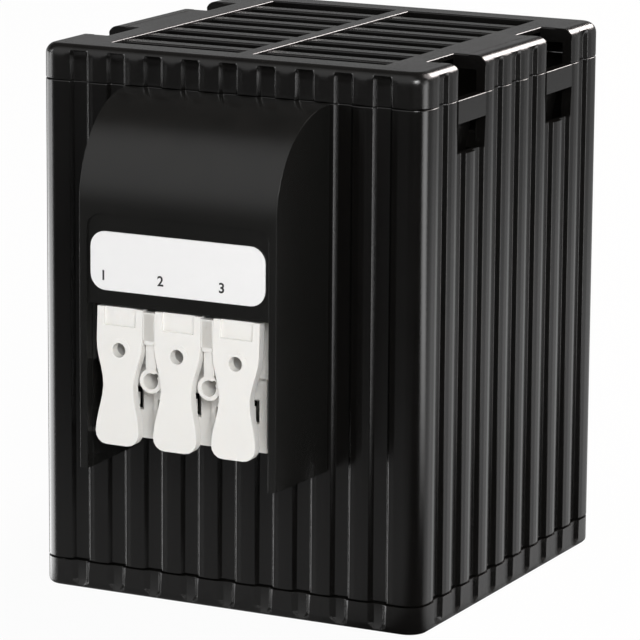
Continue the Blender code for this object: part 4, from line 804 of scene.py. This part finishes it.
def add_floor():
    """A white floor that keeps the object's soft shadow, looks white, lets gloss see the world, and glows
    painted reflections that only gloss sees.
    """
    material = bpy.data.materials.new("floor_white_painted_reflections")
    material.use_nodes = True
    tree = material.node_tree
    shader = tree.nodes["Principled BSDF"]
    shader.inputs["Base Color"].default_value = (FLOOR_WHITE, FLOOR_WHITE, FLOOR_WHITE, 1)
    shader.inputs["Roughness"].default_value = 0.9
    rays = new_node(tree, "ShaderNodeLightPath")
    cards, through = floor_cards(tree)
    # Painted reflections: the floor glows its card and near glow to glossy rays only.
    mirrored = maths(tree, "MULTIPLY", rays.outputs["Is Glossy Ray"], cards)
    glow = new_node(tree, "ShaderNodeEmission")
    glow.inputs["Color"].default_value = (1, 1, 1, 1)
    tree.links.new(maths(tree, "MAXIMUM", rays.outputs["Is Camera Ray"], mirrored), glow.inputs["Strength"])
    clear = new_node(tree, "ShaderNodeBsdfTransparent")
    tree.links.new(maths(tree, "MULTIPLY", rays.outputs["Is Glossy Ray"], through), clear.inputs["Color"])
    both = new_node(tree, "ShaderNodeAddShader")
    tree.links.new(glow.outputs["Emission"], both.inputs[0])
    tree.links.new(clear.outputs["BSDF"], both.inputs[1])
    seen = maths(tree, "MULTIPLY", rays.outputs["Is Camera Ray"], FLOOR_GLOW_SHARE)
    share = maths(tree, "MAXIMUM", seen, rays.outputs["Is Glossy Ray"])
    mix = new_node(tree, "ShaderNodeMixShader")
    tree.links.new(share, mix.inputs["Fac"])
    tree.links.new(shader.outputs["BSDF"], mix.inputs[1])
    tree.links.new(both.outputs["Shader"], mix.inputs[2])
    tree.links.new(mix.outputs["Shader"], tree.nodes["Material Output"].inputs["Surface"])
    mesh = bpy.data.meshes.new("floor")
    corners = [(-1, -1), (1, -1), (1, 1), (-1, 1)]
    mesh.from_pydata([(x * FLOOR_REACH, y * FLOOR_REACH, 0) for x, y in corners], [], [(0, 1, 2, 3)])
    mesh.materials.append(material)
    floor = bpy.data.objects.new("floor", mesh)
    bpy.context.scene.collection.objects.link(floor)


def mirrored_sky(tree, way):
    """What gloss sees of the world: a low sky, a high front card and two cards under the horizon."""
    split = new_node(tree, "ShaderNodeSeparateXYZ")
    tree.links.new(way, split.inputs[0])
    height = split.outputs["Z"]
    above = maths(tree, "GREATER_THAN", height, 0.0)
    low_sky = maths(tree, "MULTIPLY", falling(tree, height, 0.1, 0.45, SKY_LOW, SKY_HIGH), above)
    high_front = toward(tree, FRONT_WAY, way, 0.6, 0.97, FRONT_CARD)
    flat = vector_maths(tree, "MULTIPLY", way, (1, 1, 0)).outputs["Vector"]
    level = vector_maths(tree, "NORMALIZE", flat).outputs["Vector"]
    behind = toward(tree, BACK_WAY, level, 0.66, 0.90, BACK_CARD)
    left = toward(tree, LEFT_WAY, level, 0.78, 0.96, LEFT_CARD)
    below = maths(tree, "SUBTRACT", 1.0, above)
    band = maths(tree, "MULTIPLY", falling(tree, height, -0.50, -0.28, 0.0, 1.0), below)
    cards = maths(tree, "MULTIPLY", maths(tree, "MAXIMUM", behind, left), band)
    return maths(tree, "MAXIMUM", low_sky, maths(tree, "MAXIMUM", high_front, cards))


def add_world():
    """Plain light all round, white to the camera, with its own sky for gloss."""
    world = bpy.data.worlds.new("studio")
    bpy.context.scene.world = world
    world.use_nodes = True
    tree = world.node_tree
    back = tree.nodes["Background"]
    rays = new_node(tree, "ShaderNodeLightPath")
    sky = mirrored_sky(tree, new_node(tree, "ShaderNodeTexCoord").outputs["Generated"])
    mirrored = maths(tree, "MULTIPLY", rays.outputs["Is Glossy Ray"], sky)
    plain = maths(tree, "SUBTRACT", 1.0, rays.outputs["Is Glossy Ray"])
    plain = maths(tree, "MULTIPLY", plain, PLAIN_LIGHT)
    lit = maths(tree, "MAXIMUM", mirrored, plain)
    back.inputs["Color"].default_value = (1, 1, 1, 1)
    tree.links.new(maths(tree, "MAXIMUM", rays.outputs["Is Camera Ray"], lit), back.inputs["Strength"])


def add_lamp(name, place, target, size, power, colour):
    lamp = bpy.data.lights.new(name, "AREA")
    lamp.shape = "RECTANGLE"
    lamp.size, lamp.size_y = size
    lamp.energy = power
    lamp.color = colour
    item = bpy.data.objects.new(name, lamp)
    bpy.context.scene.collection.objects.link(item)
    item.location = place
    item.rotation_euler = (Vector(target) - Vector(place)).to_track_quat("-Z", "Y").to_euler()


def add_camera():
    """A long lens at the solved place, turned by azimuth, elevation and roll."""
    camera = bpy.data.cameras.new("camera")
    camera.sensor_width = 36.0
    camera.lens = CAMERA_LENS
    camera.clip_end = 20.0
    item = bpy.data.objects.new("camera", camera)
    bpy.context.scene.collection.objects.link(item)
    turn = Matrix.Rotation(math.radians(CAMERA_AZIMUTH), 4, "Z")
    tip = Matrix.Rotation(math.radians(90 - CAMERA_ELEVATION), 4, "X")
    roll = Matrix.Rotation(math.radians(CAMERA_ROLL), 4, "Z")
    item.matrix_world = Matrix.Translation(CAMERA_PLACE) @ turn @ tip @ roll
    bpy.context.scene.camera = item


add_floor()
add_world()
for lamp_values in LAMPS:
    add_lamp(*lamp_values)
add_camera()

bpy.context.scene.view_settings.view_transform = "Standard"
